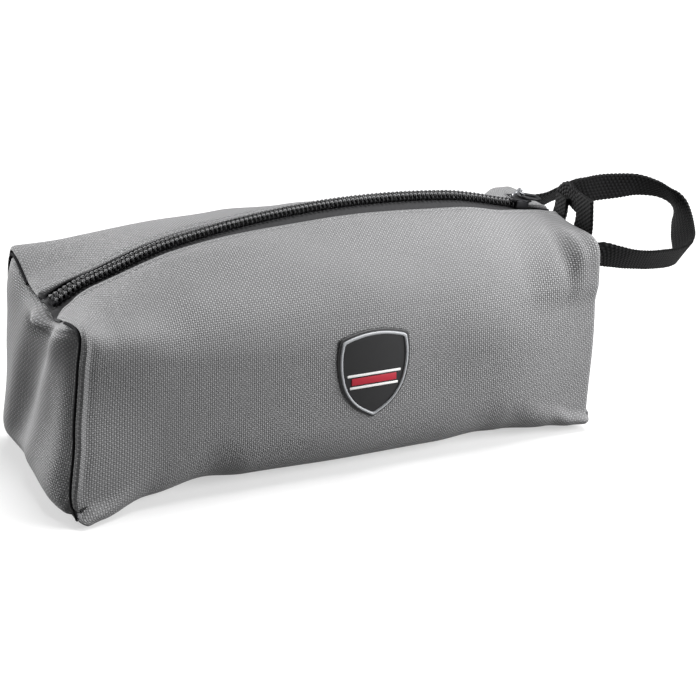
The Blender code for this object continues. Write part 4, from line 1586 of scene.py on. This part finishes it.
@dataclass
class Zipper:
    """Tapes, coils, their sewing threads that also carry painted highlight, the end stop and the
    topstitching.

    The coil's loop is one turn of its wire: distance from the chain's middle, height, and half pitches
    along the chain.
    """

    form: PouchForm
    palette: Palette
    tape_end: float = 119
    tape_drop: float = 1.8
    tape_thickness: float = 0.7
    tape_widths: tuple[float, ...] = (1.6, 1.75, 2.1)
    tape_outer: float = 15.5
    tape_closing: Span = (113, 116)
    tape_closing_shift: float = 1.55
    tape_sag: float = 1.8
    tape_sag_span: Span = (98, 117)
    tape_sag_width: Span = (3.8, 8)
    pitch: float = 2
    wire: float = 0.46
    loop: Table = (
        (3.1, -0.8, -0.30), (3.5, -0.10, -0.22), (3.25, 0.75, -0.12), (2.5, 1.2, -0.06), (1.5, 1.3, 0.0),
        (0.4, 1.2, 0.05), (-0.35, 0.9, 0.1), (-0.8, 0.3, 0.2), (-0.45, -0.4, 0.45), (0.6, -0.8, 0.8),
        (1.9, -0.9, 1.15), (2.7, -0.9, 1.45))
    coil_drop: float = 0.1
    coil_left: float = -118.4
    coil_right: float = 103.6
    thread_radius: float = 0.3
    thread_reach: float = 0.55
    thread_y: float = 1.9
    thread_lift: tuple[float, ...] = (1.0, 1.5, 1.68, 1.5, 1.0)
    stitch_radius: float = 0.19
    stitch_inset: float = 2.3
    stitch_length: float = 2.3
    stitch_gap: float = 0.55
    stitch_end: float = 12
    stitch_lift: tuple[float, ...] = (-0.62, -0.1, -0.04, -0.1, -0.62)
    stop_x: float = -118
    stop_low: Triple = (0, -3.3, -1.3)
    stop_high: Triple = (2.4, 3.3, 0.3)
    stop_round: float = 0.45
    stop_tilt: float = -14

    def chain_point(self, x: Number, lateral: Number, lift: Number) -> np.ndarray:
        """Points beside and above the chain's arc.

        Args:
            x: Place along the pouch.
            lateral: Distance from the chain's middle.
            lift: Height above the fabric's arc.

        Returns:
            Points in millimetres.
        """
        return self.form.settle_corners(np.stack([x, lateral, self.form.chain_height(x) + lift], -1))

    def tape(self, side: Side, end: End) -> bpy.types.Object:
        """Half of one tape, from mid-length to the end seam.

        Args:
            side: Which long side.
            end: Which half.

        Returns:
            The finished piece.
        """
        columns = np.linspace(*sorted((0, end.value * self.tape_end)), 80)
        widths = np.concatenate([self.tape_widths, np.linspace(2.6, self.tape_outer, 15)])
        closing = ease(np.abs(columns), *self.tape_closing) if end is End.LEFT else np.zeros(len(columns))
        low, high = self.tape_sag_span
        rows = []
        for y in widths:
            height = np.array([float(self.form.half_roof(side, x, y)) for x in columns]) - self.tape_drop
            height -= self.tape_sag * ease(-columns, low, high) * float(ease(y, *self.tape_sag_width))
            across = y - closing * self.tape_closing_shift * bell(y - self.tape_widths[0], 0.6)
            rows.append(np.stack([columns, across * side.value, height], 1))
        points = self.form.settle_corners(np.stack(rows))
        cloth = np.stack([np.broadcast_to(columns, points.shape[:2]),
                          np.broadcast_to(widths[:, None], points.shape[:2])], -1)
        item = cloth_grid(f"{side.word}_tape_{end.word}_half", points, cloth, self.palette.tape,
                          flip=side is Side.FRONT)
        return thicken(item, self.tape_thickness)

    def turns(self, side: Side, end: End) -> list[float]:
        """Coil turns of one half, without a gap between the halves.

        Args:
            side: Which coil.
            end: Which half.

        Returns:
            The turns' places along the pouch.
        """
        phase = 0 if side is Side.FRONT else self.pitch / 2
        first = math.ceil((self.coil_left - phase) / self.pitch + 0.3) if end is End.LEFT else 0
        last = 0 if end is End.LEFT else math.floor((self.coil_right - phase) / self.pitch - 0.2)
        return [phase + turn * self.pitch for turn in range(first, last)]

    def coil(self, side: Side, end: End) -> bpy.types.Object:
        """Half of one coil: a nylon wire wound flat, turn by turn, onto the tape's edge.

        Args:
            side: Which coil.
            end: Which half.

        Returns:
            The finished piece.
        """
        loop = np.array(self.loop)
        path = np.concatenate([
            self.chain_point(x + loop[:, 2] * self.pitch / 2, loop[:, 0] * side.value,
                             loop[:, 1] - self.coil_drop)
            for x in self.turns(side, end)])
        return tube(f"{side.word}_coil_{end.word}_half", [path], self.wire, self.palette.coil)

    def coil_threads(self, side: Side, end: End) -> bpy.types.Object:
        """The stitches over every turn that sew one coil to its tape; their light grey is partly painted
        highlight of the coil's turns.

        Args:
            side: Which coil.
            end: Which half.

        Returns:
            The finished piece.
        """
        along = np.linspace(-self.thread_reach, self.thread_reach, 5)
        lateral = np.full(5, self.thread_y * side.value)
        paths = [self.chain_point(x + along, lateral, np.array(self.thread_lift))
                 for x in self.turns(side, end)]
        return tube(f"{side.word}_coil_thread_{end.word}", paths, self.thread_radius,
                    self.palette.zip_thread_and_highlight)

    def topstitch(self, side: Side, end: End) -> bpy.types.Object:
        """Row of stitches that holds one half flap's folded edge to the tape.

        Args:
            side: Which flap.
            end: Which half.

        Returns:
            The finished piece.
        """
        form = self.form
        low, high = sorted((0, end.value * (form.half_length - self.stitch_end)))
        starts = np.arange(low + 0.4, high - self.stitch_length, self.stitch_length + self.stitch_gap)
        paths = []
        for start in starts:
            x = start + np.linspace(0, 1, 5) * self.stitch_length
            y = np.array([form.lip_edge(side, value) for value in x]) + self.stitch_inset
            height = np.array([float(form.half_roof(side, *pair)) for pair in zip(x, y)])
            points = np.stack([x, y * side.value, height + np.array(self.stitch_lift)], 1)
            paths.append(form.settle_corners(points))
        return tube(f"{side.word}_topstitch_{end.word}", paths, self.stitch_radius, self.palette.thread)

    def stop(self) -> bpy.types.Object:
        """Crimped clip over both coils at the closed end.

        Returns:
            The finished piece.
        """
        clip = rounded_block("zipper_end_stop", self.stop_low, self.stop_high, self.palette.matt_black,
                             self.stop_round)
        place = self.chain_point(np.array(self.stop_x), np.array(0), np.array(0))
        tilt = self.form.chain_tilt(self.stop_x) + math.radians(self.stop_tilt)
        clip.matrix_world = Matrix.Translation(Vector(place.tolist()) * MM) @ Matrix.Rotation(tilt, 4, "Y")
        return settle(clip)

    def build(self) -> None:
        """Make and attach every fixed zipper piece."""
        for side in Side:
            for end in End:
                tape_nodes = [f"{side.word}_tape_{end.word}", f"{side.word}_tape_middle"]
                coil_nodes = [f"{side.word}_coil_{end.word}", f"{side.word}_coil_middle"]
                pieces = ((self.tape(side, end), "zipper_tape", tape_nodes),
                          (self.coil(side, end), "coil", coil_nodes),
                          (self.coil_threads(side, end), "coil", []),
                          (self.topstitch(side, end), "woven_fabric", []))
                for item, slot, nodes in pieces:
                    bend_to_lip(item)
                    attach(item, slot, nodes)
        attach(self.stop(), "slider_metal", ["left_stop"], "shell")


@dataclass
class Slider:
    """Metal slider with its crown and the wire pull ring that hangs on it.

    Its own frame stands on the chain's arc, with x towards the nose and z away from the chain.
    """

    form: PouchForm
    palette: Palette
    x: float = 101.5
    length: float = 10
    half_width: float = 4.7
    top_low: float = 2.02
    top_high: float = 2.78
    bottom_high: float = -3.0
    bottom_low: float = -4.1
    plate_round: float = 0.35
    tail_width: float = 0.8
    nose_cut: float = 0.16
    flange_y: Span = (4, 4.6)
    flange_foot: float = -1.3
    flange_ends: Span = (2.6, 1.6)
    flange_round: float = 0.2
    post_half_width: float = 1.2
    post_ends: Span = (2.4, 0.6)
    sunk: float = 0.5
    crown_top: float = 5.6
    crown_half: float = 3.2
    crown_wire: float = 0.55
    crown_width: float = 1.55
    lug_low: Triple = (-1.3, -1.1, 0)
    lug_high: Triple = (1.3, 1.1, 3.4)
    lug_place: Triple = (-1.6, 0, 4.0)
    lug_lean: float = 38
    lug_thickness: float = 0.55
    lug_round: float = 0.4
    pin_ends: Span = (0.9, 2.3)
    pin_half_width: float = 1.0
    pin_round: float = 0.3
    ring_place: Triple = (1.2, 0, 3.6)
    ring_droop: float = 3
    ring_length: float = 9
    ring_width: float = 6
    ring_corner: float = 1.9
    ring_wire: float = 0.75

    def frame(self) -> Matrix:
        """Slider's own frame on the chain, in metres."""
        place = Vector((self.x, 0, float(self.form.chain_arc(self.x)))) * MM
        return Matrix.Translation(place) @ Matrix.Rotation(self.form.chain_tilt(self.x), 4, "Y")

    def plate(self, name: str, low: float, high: float) -> bpy.types.Object:
        """One slider plate: wide shoulders at the nose and a narrow tail, its edges rolled.

        Args:
            name: Name of the piece.
            low: Height of its lower face.
            high: Height of its upper face.

        Returns:
            The finished plate.
        """
        half = self.length / 2
        item = block(name, (-half, -self.half_width, low), (half, self.half_width, high), self.palette.metal)
        edit_all(item)
        bpy.ops.mesh.subdivide(number_cuts=5)
        bpy.ops.object.mode_set(mode="OBJECT")
        for vertex in item.data.vertices:
            share = (vertex.co.x + half * MM) / (2 * half * MM)
            widening = (1 - self.tail_width) * float(ease(share, 0.1, 0.6))
            vertex.co.y *= self.tail_width + widening - self.nose_cut * float(ease(share, 0.8, 1.0))
        round_edges(item, self.plate_round)
        return settle(item)

    def crown(self) -> bpy.types.Object:
        """Flat arch over the top plate that carries the ring.

        Returns:
            The finished piece.
        """
        angle = np.linspace(0, math.pi, 17)
        reach = self.crown_half - self.sunk
        foot = self.top_high - 0.4
        rise = self.crown_top - self.sunk - foot
        arch = np.stack([reach * np.cos(angle), np.zeros(17), foot + rise * np.sin(angle) ** 0.6], 1)
        item = tube("slider_crown", [arch], self.crown_wire, self.palette.bright_metal, sides=4)
        for vertex in item.data.vertices:
            vertex.co.y *= self.crown_width
        return item

    def lug(self) -> bpy.types.Object:
        """Leaning tongue of the crown.

        Returns:
            The finished piece.
        """
        item = rounded_block("slider_lug", self.lug_low, self.lug_high, self.palette.bright_metal,
                             self.lug_round)
        item.matrix_world = (Matrix.Translation(Vector(self.lug_place) * MM)
                             @ Matrix.Rotation(math.radians(self.lug_lean), 4, "Y")
                             @ Matrix.Scale(self.lug_thickness, 4, Vector((1, 0, 0))))
        return settle(item)

    def body(self) -> bpy.types.Object:
        """Slider body of two plates, two flanges, the nose post, the crown, its lug and the tail pin.

        Returns:
            The finished piece.
        """
        metal = self.palette.metal
        half = self.length / 2
        inside_top = self.top_low + self.sunk
        parts = [self.plate("slider_top", self.top_low, self.top_high),
                 self.plate("slider_bottom", self.bottom_low, self.bottom_high)]
        tail, nose = self.flange_ends
        for sign in (-1, 1):
            near, far = sorted(sign * y for y in self.flange_y)
            parts.append(settle(rounded_block(
                "slider_flange", (tail - half, near, self.flange_foot), (half - nose, far, inside_top),
                metal, self.flange_round, 2)))
        back, front = self.post_ends
        parts.append(settle(rounded_block(
            "slider_post", (half - back, -self.post_half_width, self.bottom_low + 0.4),
            (half - front, self.post_half_width, inside_top), metal, self.plate_round)))
        parts.append(self.crown())
        parts.append(self.lug())
        start, end = self.pin_ends
        parts.append(settle(rounded_block(
            "slider_tail_pin", (start - half, -self.pin_half_width, self.top_high - 0.3),
            (end - half, self.pin_half_width, self.top_high + 0.55), metal, self.pin_round)))
        item = join("slider_body", parts)
        item.matrix_world = self.frame() @ item.matrix_world
        return settle(item)

    def ring(self) -> bpy.types.Object:
        """Oblong wire ring through the crown.

        Returns:
            The finished piece.
        """
        radius = self.ring_corner
        far = self.ring_length - radius
        side = self.ring_width / 2 - radius
        points = []
        for quarter, (x, y) in enumerate(((far, side), (radius, side), (radius, -side), (far, -side))):
            for step in range(8):
                angle = math.pi / 2 * (quarter + step / 7)
                points.append((x + radius * math.cos(angle), y + radius * math.sin(angle), 0))
        item = tube("pull_ring_wire", [np.array(points)], self.ring_wire, self.palette.pull_metal, sides=4,
                    closed=True)
        droop = Matrix.Rotation(math.radians(self.ring_droop), 4, "Y")
        item.matrix_world = self.frame() @ Matrix.Translation(Vector(self.ring_place) * MM) @ droop
        return settle(item)

    def build(self) -> None:
        """Make and attach the slider and its pull."""
        attach(self.body(), "slider_metal", ["slider"], "slider")
        attach(self.ring(), "slider_metal", ["pull_ring"], "pull")


@dataclass
class Badge:
    """Moulded rubber shield: bevelled base, raised rim, two bars and a plain band.

    Sizes are in millimetres. The side is half of the outline, from the bottom point to the top corner, in
    shares of the half width and the height.
    """

    palette: Palette
    centre_x: float = 9.6
    centre_z: float = 46.5
    face_y: float = -48.3
    width: float = 34
    height: float = 41
    plate: float = 1.4
    border: float = 1.1
    rim: float = 1.2
    corner: float = 1.1
    base_round: float = 0.45
    inlay_gap: float = 0.5
    inlay_sunk: float = 0.3
    inlay_height: float = 0.12
    inlay_round: float = 0.1
    side: Table = ((0, -0.5), (0.5, -0.365), (0.84, -0.17), (0.985, 0.06), (1, 0.26), (0.94, 0.425))
    rim_profile: Table = (
        (0, -0.1), (0, 0.45), (0.12, 0.68), (0.32, 0.8), (0.68, 0.8), (0.88, 0.68), (1, 0.45), (1, -0.1))
    rim_points: int = 180
    bar_sunk: float = 0.1
    bar_height: float = 0.5
    bar_round: float = 0.22
    band_share: float = -0.06
    stripe_gap: float = 2.8
    stripe_width: float = 1.1
    stripe_lengths: Span = (25, 22.6)
    band_size: Span = (21, 3.2)

    def outline(self, inset: float) -> np.ndarray:
        """Shield outline about the badge's centre.

        Args:
            inset: How far it lies inside the badge's edge.

        Returns:
            A closed ring of points in millimetres.
        """
        half = self.width / 2 - inset
        height = self.height - 2 * inset
        right = smooth_line(np.array([(x * half, y * height) for x, y in self.side]), 4)
        corner_x, corner_y = right[-1]
        crest = 0.5 * height - corner_y
        share = np.linspace(1, -1, 25)[1:-1]
        top = np.stack([corner_x * share, corner_y + crest * (1 - share ** 2)], 1)
        left = right[::-1][:-1] * np.array([-1, 1])
        return round_corners(np.concatenate([right, top, left]), self.corner)

    def slab(self, name: str, inset: float, low: float, high: float, finish: bpy.types.Material,
             round_off: float) -> bpy.types.Object:
        """Solid slab of the shield's outline.

        Args:
            name: Name of the piece.
            inset: How far its outline lies inside the badge's edge.
            low: Its lower height over the panel.
            high: Its upper height over the panel.
            finish: Its material.
            round_off: Rounding of its edges, still to be applied.

        Returns:
            The slab, lying flat.
        """
        ring = self.outline(inset)
        deselect()
        bpy.ops.mesh.primitive_circle_add(vertices=len(ring), radius=1, fill_type="NGON")
        item = bpy.context.object
        item.name = name
        for vertex, (x, z) in zip(item.data.vertices, ring):
            vertex.co = (x * MM, z * MM, low * MM)
        edit_all(item)
        bpy.ops.mesh.extrude_region_move(TRANSFORM_OT_translate={"value": (0, 0, (high - low) * MM)})
        bpy.ops.mesh.select_all(action="SELECT")
        bpy.ops.mesh.normals_make_consistent(inside=False)
        bpy.ops.object.mode_set(mode="OBJECT")
        item.data.materials.append(finish)
        round_edges(item, round_off, least_turn=50)
        return item

    def stand(self, item: bpy.types.Object) -> bpy.types.Object:
        """Turn a flat piece upright onto the front panel.

        Args:
            item: The piece, lying flat.

        Returns:
            The same piece, finished.
        """
        settle(item, 35)
        item.matrix_world = Matrix(((1, 0, 0, self.centre_x * MM), (0, 0, -1, self.face_y * MM),
                                    (0, 1, 0, self.centre_z * MM), (0, 0, 0, 1)))
        return settle(item, 35)

    def rim_ring(self) -> bpy.types.Object:
        """Raised rim as a ring with a rounded top.

        Returns:
            The rim, lying flat.
        """
        count = self.rim_points
        rings = []
        for inset in (self.border, self.border + self.rim):
            ring = self.outline(inset)
            ring = np.vstack([ring, ring[:1]])
            rings.append(resample(ring, np.linspace(0, walk(ring)[-1], count + 1))[:-1])
        outer, inner = rings
        rows = [np.column_stack([outer + (inner - outer) * share, np.full(count, self.plate + height)])
                for share, height in (*self.rim_profile, self.rim_profile[0])]
        points = np.stack(rows)
        points = np.concatenate([points, points[:, :1]], 1)
        item = cloth_grid("badge_rim_moulding", points, points[..., :2], self.palette.badge_silver)
        return weld(item, 0.01)

    def bar(self, name: str, length: float, width: float, z: float,
            finish: bpy.types.Material) -> bpy.types.Object:
        """One raised bar, lying flat.

        Args:
            name: Name of the piece.
            length: Its length.
            width: Its width.
            z: Height of its middle on the shield.
            finish: Its material.

        Returns:
            The bar, with its rounded edges still to be applied.
        """
        item = block(name, (-length / 2, z - width / 2, self.plate - self.bar_sunk),
                     (length / 2, z + width / 2, self.plate + self.bar_height), finish)
        round_edges(item, self.bar_round)
        return item

    def build(self) -> None:
        """Make and attach the badge's pieces."""
        colours = self.palette
        band_z = self.band_share * self.height
        base = self.slab("badge_base", 0, 0, self.plate, colours.badge_black, self.base_round)
        face = self.slab("badge_face_inlay", self.border + self.rim + self.inlay_gap,
                         self.plate - self.inlay_sunk, self.plate + self.inlay_height, colours.badge_face,
                         self.inlay_round)
        attach(self.stand(base), "badge_plate", ["badge_plate"], "shell")
        attach(self.stand(face), "badge_plate", body="shell")
        attach(self.stand(self.rim_ring()), "badge_rim", ["badge_rim"], "shell")
        for word, length, sign in zip(("upper", "lower"), self.stripe_lengths, (1, -1)):
            stripe = self.bar(f"badge_{word}_bar", length, self.stripe_width,
                              band_z + sign * self.stripe_gap, colours.badge_white)
            attach(self.stand(stripe), "badge_stripe", [f"badge_stripe_{word}"], "shell")
        band = self.bar("badge_plain_band", *self.band_size, band_z, colours.badge_red)
        attach(self.stand(band), "badge_band", ["badge_band"], "shell")


@dataclass
class Webbing:
    """A strap of woven webbing laid along a route.

    The places are where its face is drawn, in shares of its half width. Its edge is round beyond 0.88.
    """

    palette: Palette
    width: float = 13
    thickness: float = 1.5
    rib: float = 2
    scallop: float = 0.2
    flat_share: float = 0.88
    places: tuple[float, ...] = (-0.96, -0.88, -0.72, -0.5, -0.25, 0, 0.25, 0.5, 0.72, 0.88, 0.96)
    under_shift: float = 20

    def profile(self) -> list[tuple[float, float]]:
        """Section of the strap, once round.

        Returns:
            Shares of its half width and of its half thickness.
        """
        face = []
        for place in self.places:
            edge = max(0, (abs(place) - self.flat_share) / (1 - self.flat_share))
            face.append((place, math.sqrt(max(0, 1 - edge ** 2)) * 0.999 + 0.001))
        back = [(place, -height) for place, height in face[::-1]]
        return face + [(1, 0)] + back + [(-1, 0)] + face[:1]

    def strap(self, name: str, route: np.ndarray, across: np.ndarray) -> bpy.types.Object:
        """Return a strap with scalloped selvedges.

        Args:
            name: Name of the piece.
            route: Points of the strap's middle line, in millimetres.
            across: Direction of the strap's width at each point.

        Returns:
            The strap as a closed mesh.
        """
        total = walk(route)[-1]
        distances = np.linspace(0, total, round(total / (self.rib / 5)) + 1)
        middle = resample(route, distances)
        side = unit(np.stack([np.interp(distances, walk(route), across[:, axis]) for axis in range(3)], 1))
        tangent = unit(np.gradient(middle, axis=0))
        side = unit(side - tangent * np.sum(side * tangent, 1, keepdims=True))
        normal = np.cross(tangent, side)
        half = self.width / 2
        scallop = self.scallop * np.cos(distances * 2 * math.pi / self.rib)
        rows = []
        cloth = []
        for place, height in self.profile():
            reach = (half + scallop * abs(place) ** 4) * place
            rows.append(middle + side * reach[:, None] + normal * (height * self.thickness / 2))
            shift = self.under_shift if height < 0 else 0
            cloth.append(np.stack([distances, np.full(len(distances), place * half + shift)], 1))
        item = cloth_grid(name, np.stack(rows), np.stack(cloth), self.palette.webbing)
        return weld(item, 0.02, cap=True)


@dataclass
class Handle:
    """Long webbing loop and the short hang loop at the slider's end of the pouch.

    Each stop of a route is x, y, z of the webbing's middle line and then x, y, z of its width's direction.
    """

    palette: Palette
    loop_stops: Table = (
        (119.4, 42, 76.8, 0, -0.1, 1), (128, 42, 76.2, -0.1, -0.45, 0.88),
        (137, 41.8, 77.4, -0.2, -0.66, 0.72), (145, 41.6, 79.8, -0.2, -0.66, 0.72),
        (153, 41.3, 80.8, -0.3, -0.4, 0.86), (160.4, 41.2, 79.9, -0.3, -0.12, 0.94),
        (168.5, 41.8, 79.6, -0.14, -0.04, 0.99), (176.6, 41.1, 79.4, -0.13, -0.13, 0.98),
        (185, 39.8, 79.2, -0.17, -0.34, 0.92), (192.6, 37.7, 77.6, -0.17, -0.55, 0.8),
        (197.8, 35, 75.8, -0.2, -0.68, 0.7), (200.6, 30.6, 73.7, -0.2, -0.77, 0.6),
        (200.4, 24.4, 71.2, -0.02, -0.88, 0.45), (197.9, 17.4, 68, 0.22, -0.86, 0.45),
        (194, 9, 65.4, 0.42, -0.76, 0.5), (189, -1, 64.4, 0.42, -0.68, 0.62),
        (181, -14.4, 65.6, 0.05, -0.66, 0.75), (169.8, -24.6, 68.2, -0.2, -0.64, 0.74),
        (152.6, -35, 73.2, -0.28, -0.62, 0.73), (138.4, -40.5, 77.3, -0.26, -0.58, 0.77),
        (128.4, -42.8, 80.8, -0.22, -0.45, 0.87), (121.4, -43, 83, -0.14, -0.26, 0.95),
        (117.4, -42.2, 82.4, -0.05, -0.1, 1))
    back_leg_stops: Table = (
        (118.6, -4.4, 82, 0.1, 1, 0), (120.2, -4.4, 86, 0.1, 1, 0), (121.8, -4.3, 91, 0.1, 1, 0),
        (122.2, -4.2, 97.5, 0.1, 1, 0.1))
    bridge_stops: Table = (
        (122.8, -2.2, 94, 0, 0.75, 0.6), (123.1, -4.6, 97.5, 0, 0.4, 0.9), (123.4, -8.6, 99.6, 0, 0.2, 1),
        (123.5, -14, 98.4, 0, 0.1, 1), (123.4, -21, 97.6, 0, 0, 1), (123, -29, 98.4, 0, 0, 1))
    front_leg_stops: Table = (
        (118.6, -26.6, 82, 0.1, 1, 0), (120.2, -26.5, 86, 0.1, 1, 0), (121.8, -26.1, 92, 0.1, 1, 0),
        (121.9, -25.4, 104, 0.1, 1, 0))
    loop_width: float = 13
    back_leg_width: float = 13
    bridge_width: float = 10.5
    front_leg_width: float = 18

    def strap(self, name: str, stops: Table, width: float) -> bpy.types.Object:
        """One strap of a width along a route's stops."""
        route = smooth_line(np.array(stops, float), 6)
        return Webbing(self.palette, width=width).strap(name, route[:, :3], route[:, 3:])

    def build(self) -> None:
        """Make and attach the long loop and the folded hang loop."""
        handle = self.strap("handle_webbing", self.loop_stops, self.loop_width)
        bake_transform(handle)
        attach(handle, "webbing", ["handle"])
        legs = [self.strap("back_leg", self.back_leg_stops, self.back_leg_width),
                self.strap("bridge", self.bridge_stops, self.bridge_width),
                self.strap("front_leg", self.front_leg_stops, self.front_leg_width)]
        loop = join("hang_loop_webbing", legs)
        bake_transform(loop)
        attach(loop, "webbing", ["hang_loop"])


@dataclass(frozen=True)
class Lamp:
    """Round soft lamp: its place and size in metres and its power in watts."""

    name: str
    place: Triple
    size: float
    power: float


@dataclass
class Studio:
    """Pale floor, soft lights and the camera. Angles are in degrees and lengths in metres."""

    yaw: float = 24.60
    pitch: float = 22.97
    roll: float = 1.13
    frame_px: float = 700
    focal_px: float = 3014
    sensor_mm: float = 36
    distance: float = 1.340
    target: Triple = (0.0209, 0, 0.0361)
    floor_size: float = 8
    floor_bounce: Triple = (0.16, 0.16, 0.16)
    floor_seen: Triple = (0.9, 0.9, 0.9)
    floor_glow: float = 0.5
    room_light: float = 0.14
    lamp_target: Triple = (0.02, 0, 0.04)
    lamps: tuple[Lamp, ...] = (
        Lamp("overhead_softbox", (0.3, 0.1, 1.3), 0.8, 25),
        Lamp("right_softbox", (0.42, -0.34, 0.22), 0.36, 4.2),
        Lamp("left_back_softbox", (-0.8, 1.2, 0.26), 0.9, 33))

    def camera(self) -> None:
        """Place the camera at the photograph's viewing angle."""
        yaw, pitch, roll = (math.radians(value) for value in (self.yaw, self.pitch, self.roll))
        ahead = Vector((math.sin(yaw) * math.cos(pitch), math.cos(yaw) * math.cos(pitch), -math.sin(pitch)))
        right = Vector((math.cos(yaw), -math.sin(yaw), 0))
        up = right.cross(ahead)
        rolled_right = math.cos(roll) * right + math.sin(roll) * up
        rolled_up = -math.sin(roll) * right + math.cos(roll) * up
        data = bpy.data.cameras.new("photo_camera")
        data.sensor_width = self.sensor_mm
        data.lens = self.focal_px / self.frame_px * self.sensor_mm
        item = bpy.data.objects.new("photo_camera", data)
        bpy.context.scene.collection.objects.link(item)
        turn = Matrix((rolled_right, rolled_up, -ahead)).transposed().to_4x4()
        item.matrix_world = Matrix.Translation(Vector(self.target) - ahead * self.distance) @ turn
        bpy.context.scene.camera = item

    def floor(self) -> None:
        """Lay the pale floor, which keeps the object's shadow and shows white to the camera and in gloss."""
        deselect()
        bpy.ops.mesh.primitive_plane_add(size=self.floor_size)
        item = bpy.context.object
        item.name = "floor"
        paint = Paint("floor_white")
        rays = paint.node("ShaderNodeLightPath").socket.node.outputs
        direct = Wire(paint, rays["Is Camera Ray"])
        share = direct.at_least(Wire(paint, rays["Is Glossy Ray"]))
        paint.set(Base_Color=paint.blend(direct, self.floor_bounce, self.floor_seen), Roughness=1.0,
                  Specular_IOR_Level=0)
        glow = paint.node("ShaderNodeEmission", inputs={"Color": (1, 1, 1), "Strength": 1.0})
        mixed = paint.node("ShaderNodeMixShader", inputs={
            0: share * self.floor_glow, 1: Wire(paint, paint.shader.outputs[0]), 2: glow})
        output = next(node for node in paint.tree.nodes if node.type == "OUTPUT_MATERIAL")
        paint.feed(output.inputs["Surface"], mixed)
        item.data.materials.append(paint.material)
        deselect()

    def world(self) -> None:
        """Light the room evenly and show white behind everything."""
        world = bpy.data.worlds.new("white_room")
        world.use_nodes = True
        background = world.node_tree.nodes["Background"]
        background.inputs["Color"].default_value = (1, 1, 1, 1)
        background.inputs["Strength"].default_value = self.room_light
        bpy.context.scene.world = world

    def lights(self) -> None:
        """Hang the soft lamps."""
        for lamp in self.lamps:
            data = bpy.data.lights.new(lamp.name, "AREA")
            data.shape = "DISK"
            data.size = lamp.size
            data.energy = lamp.power
            item = bpy.data.objects.new(lamp.name, data)
            item.location = lamp.place
            aim = Vector(self.lamp_target) - Vector(lamp.place)
            item.rotation_euler = aim.to_track_quat("-Z", "Y").to_euler()
            bpy.context.scene.collection.objects.link(item)

    def build(self) -> None:
        """Set up the whole studio."""
        self.camera()
        self.floor()
        self.world()
        self.lights()
        bpy.context.scene.view_settings.view_transform = "Standard"


def main() -> None:
    """Dress the frame piece by piece."""
    logging.basicConfig(level=logging.INFO, format="%(name)s %(message)s")
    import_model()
    form = PouchForm()
    palette = Palette()
    Studio().build()
    PouchCloth(form, palette).build()
    Zipper(form, palette).build()
    Slider(form, palette).build()
    Badge(palette).build()
    Handle(palette).build()


if __name__ == "__main__":
    main()
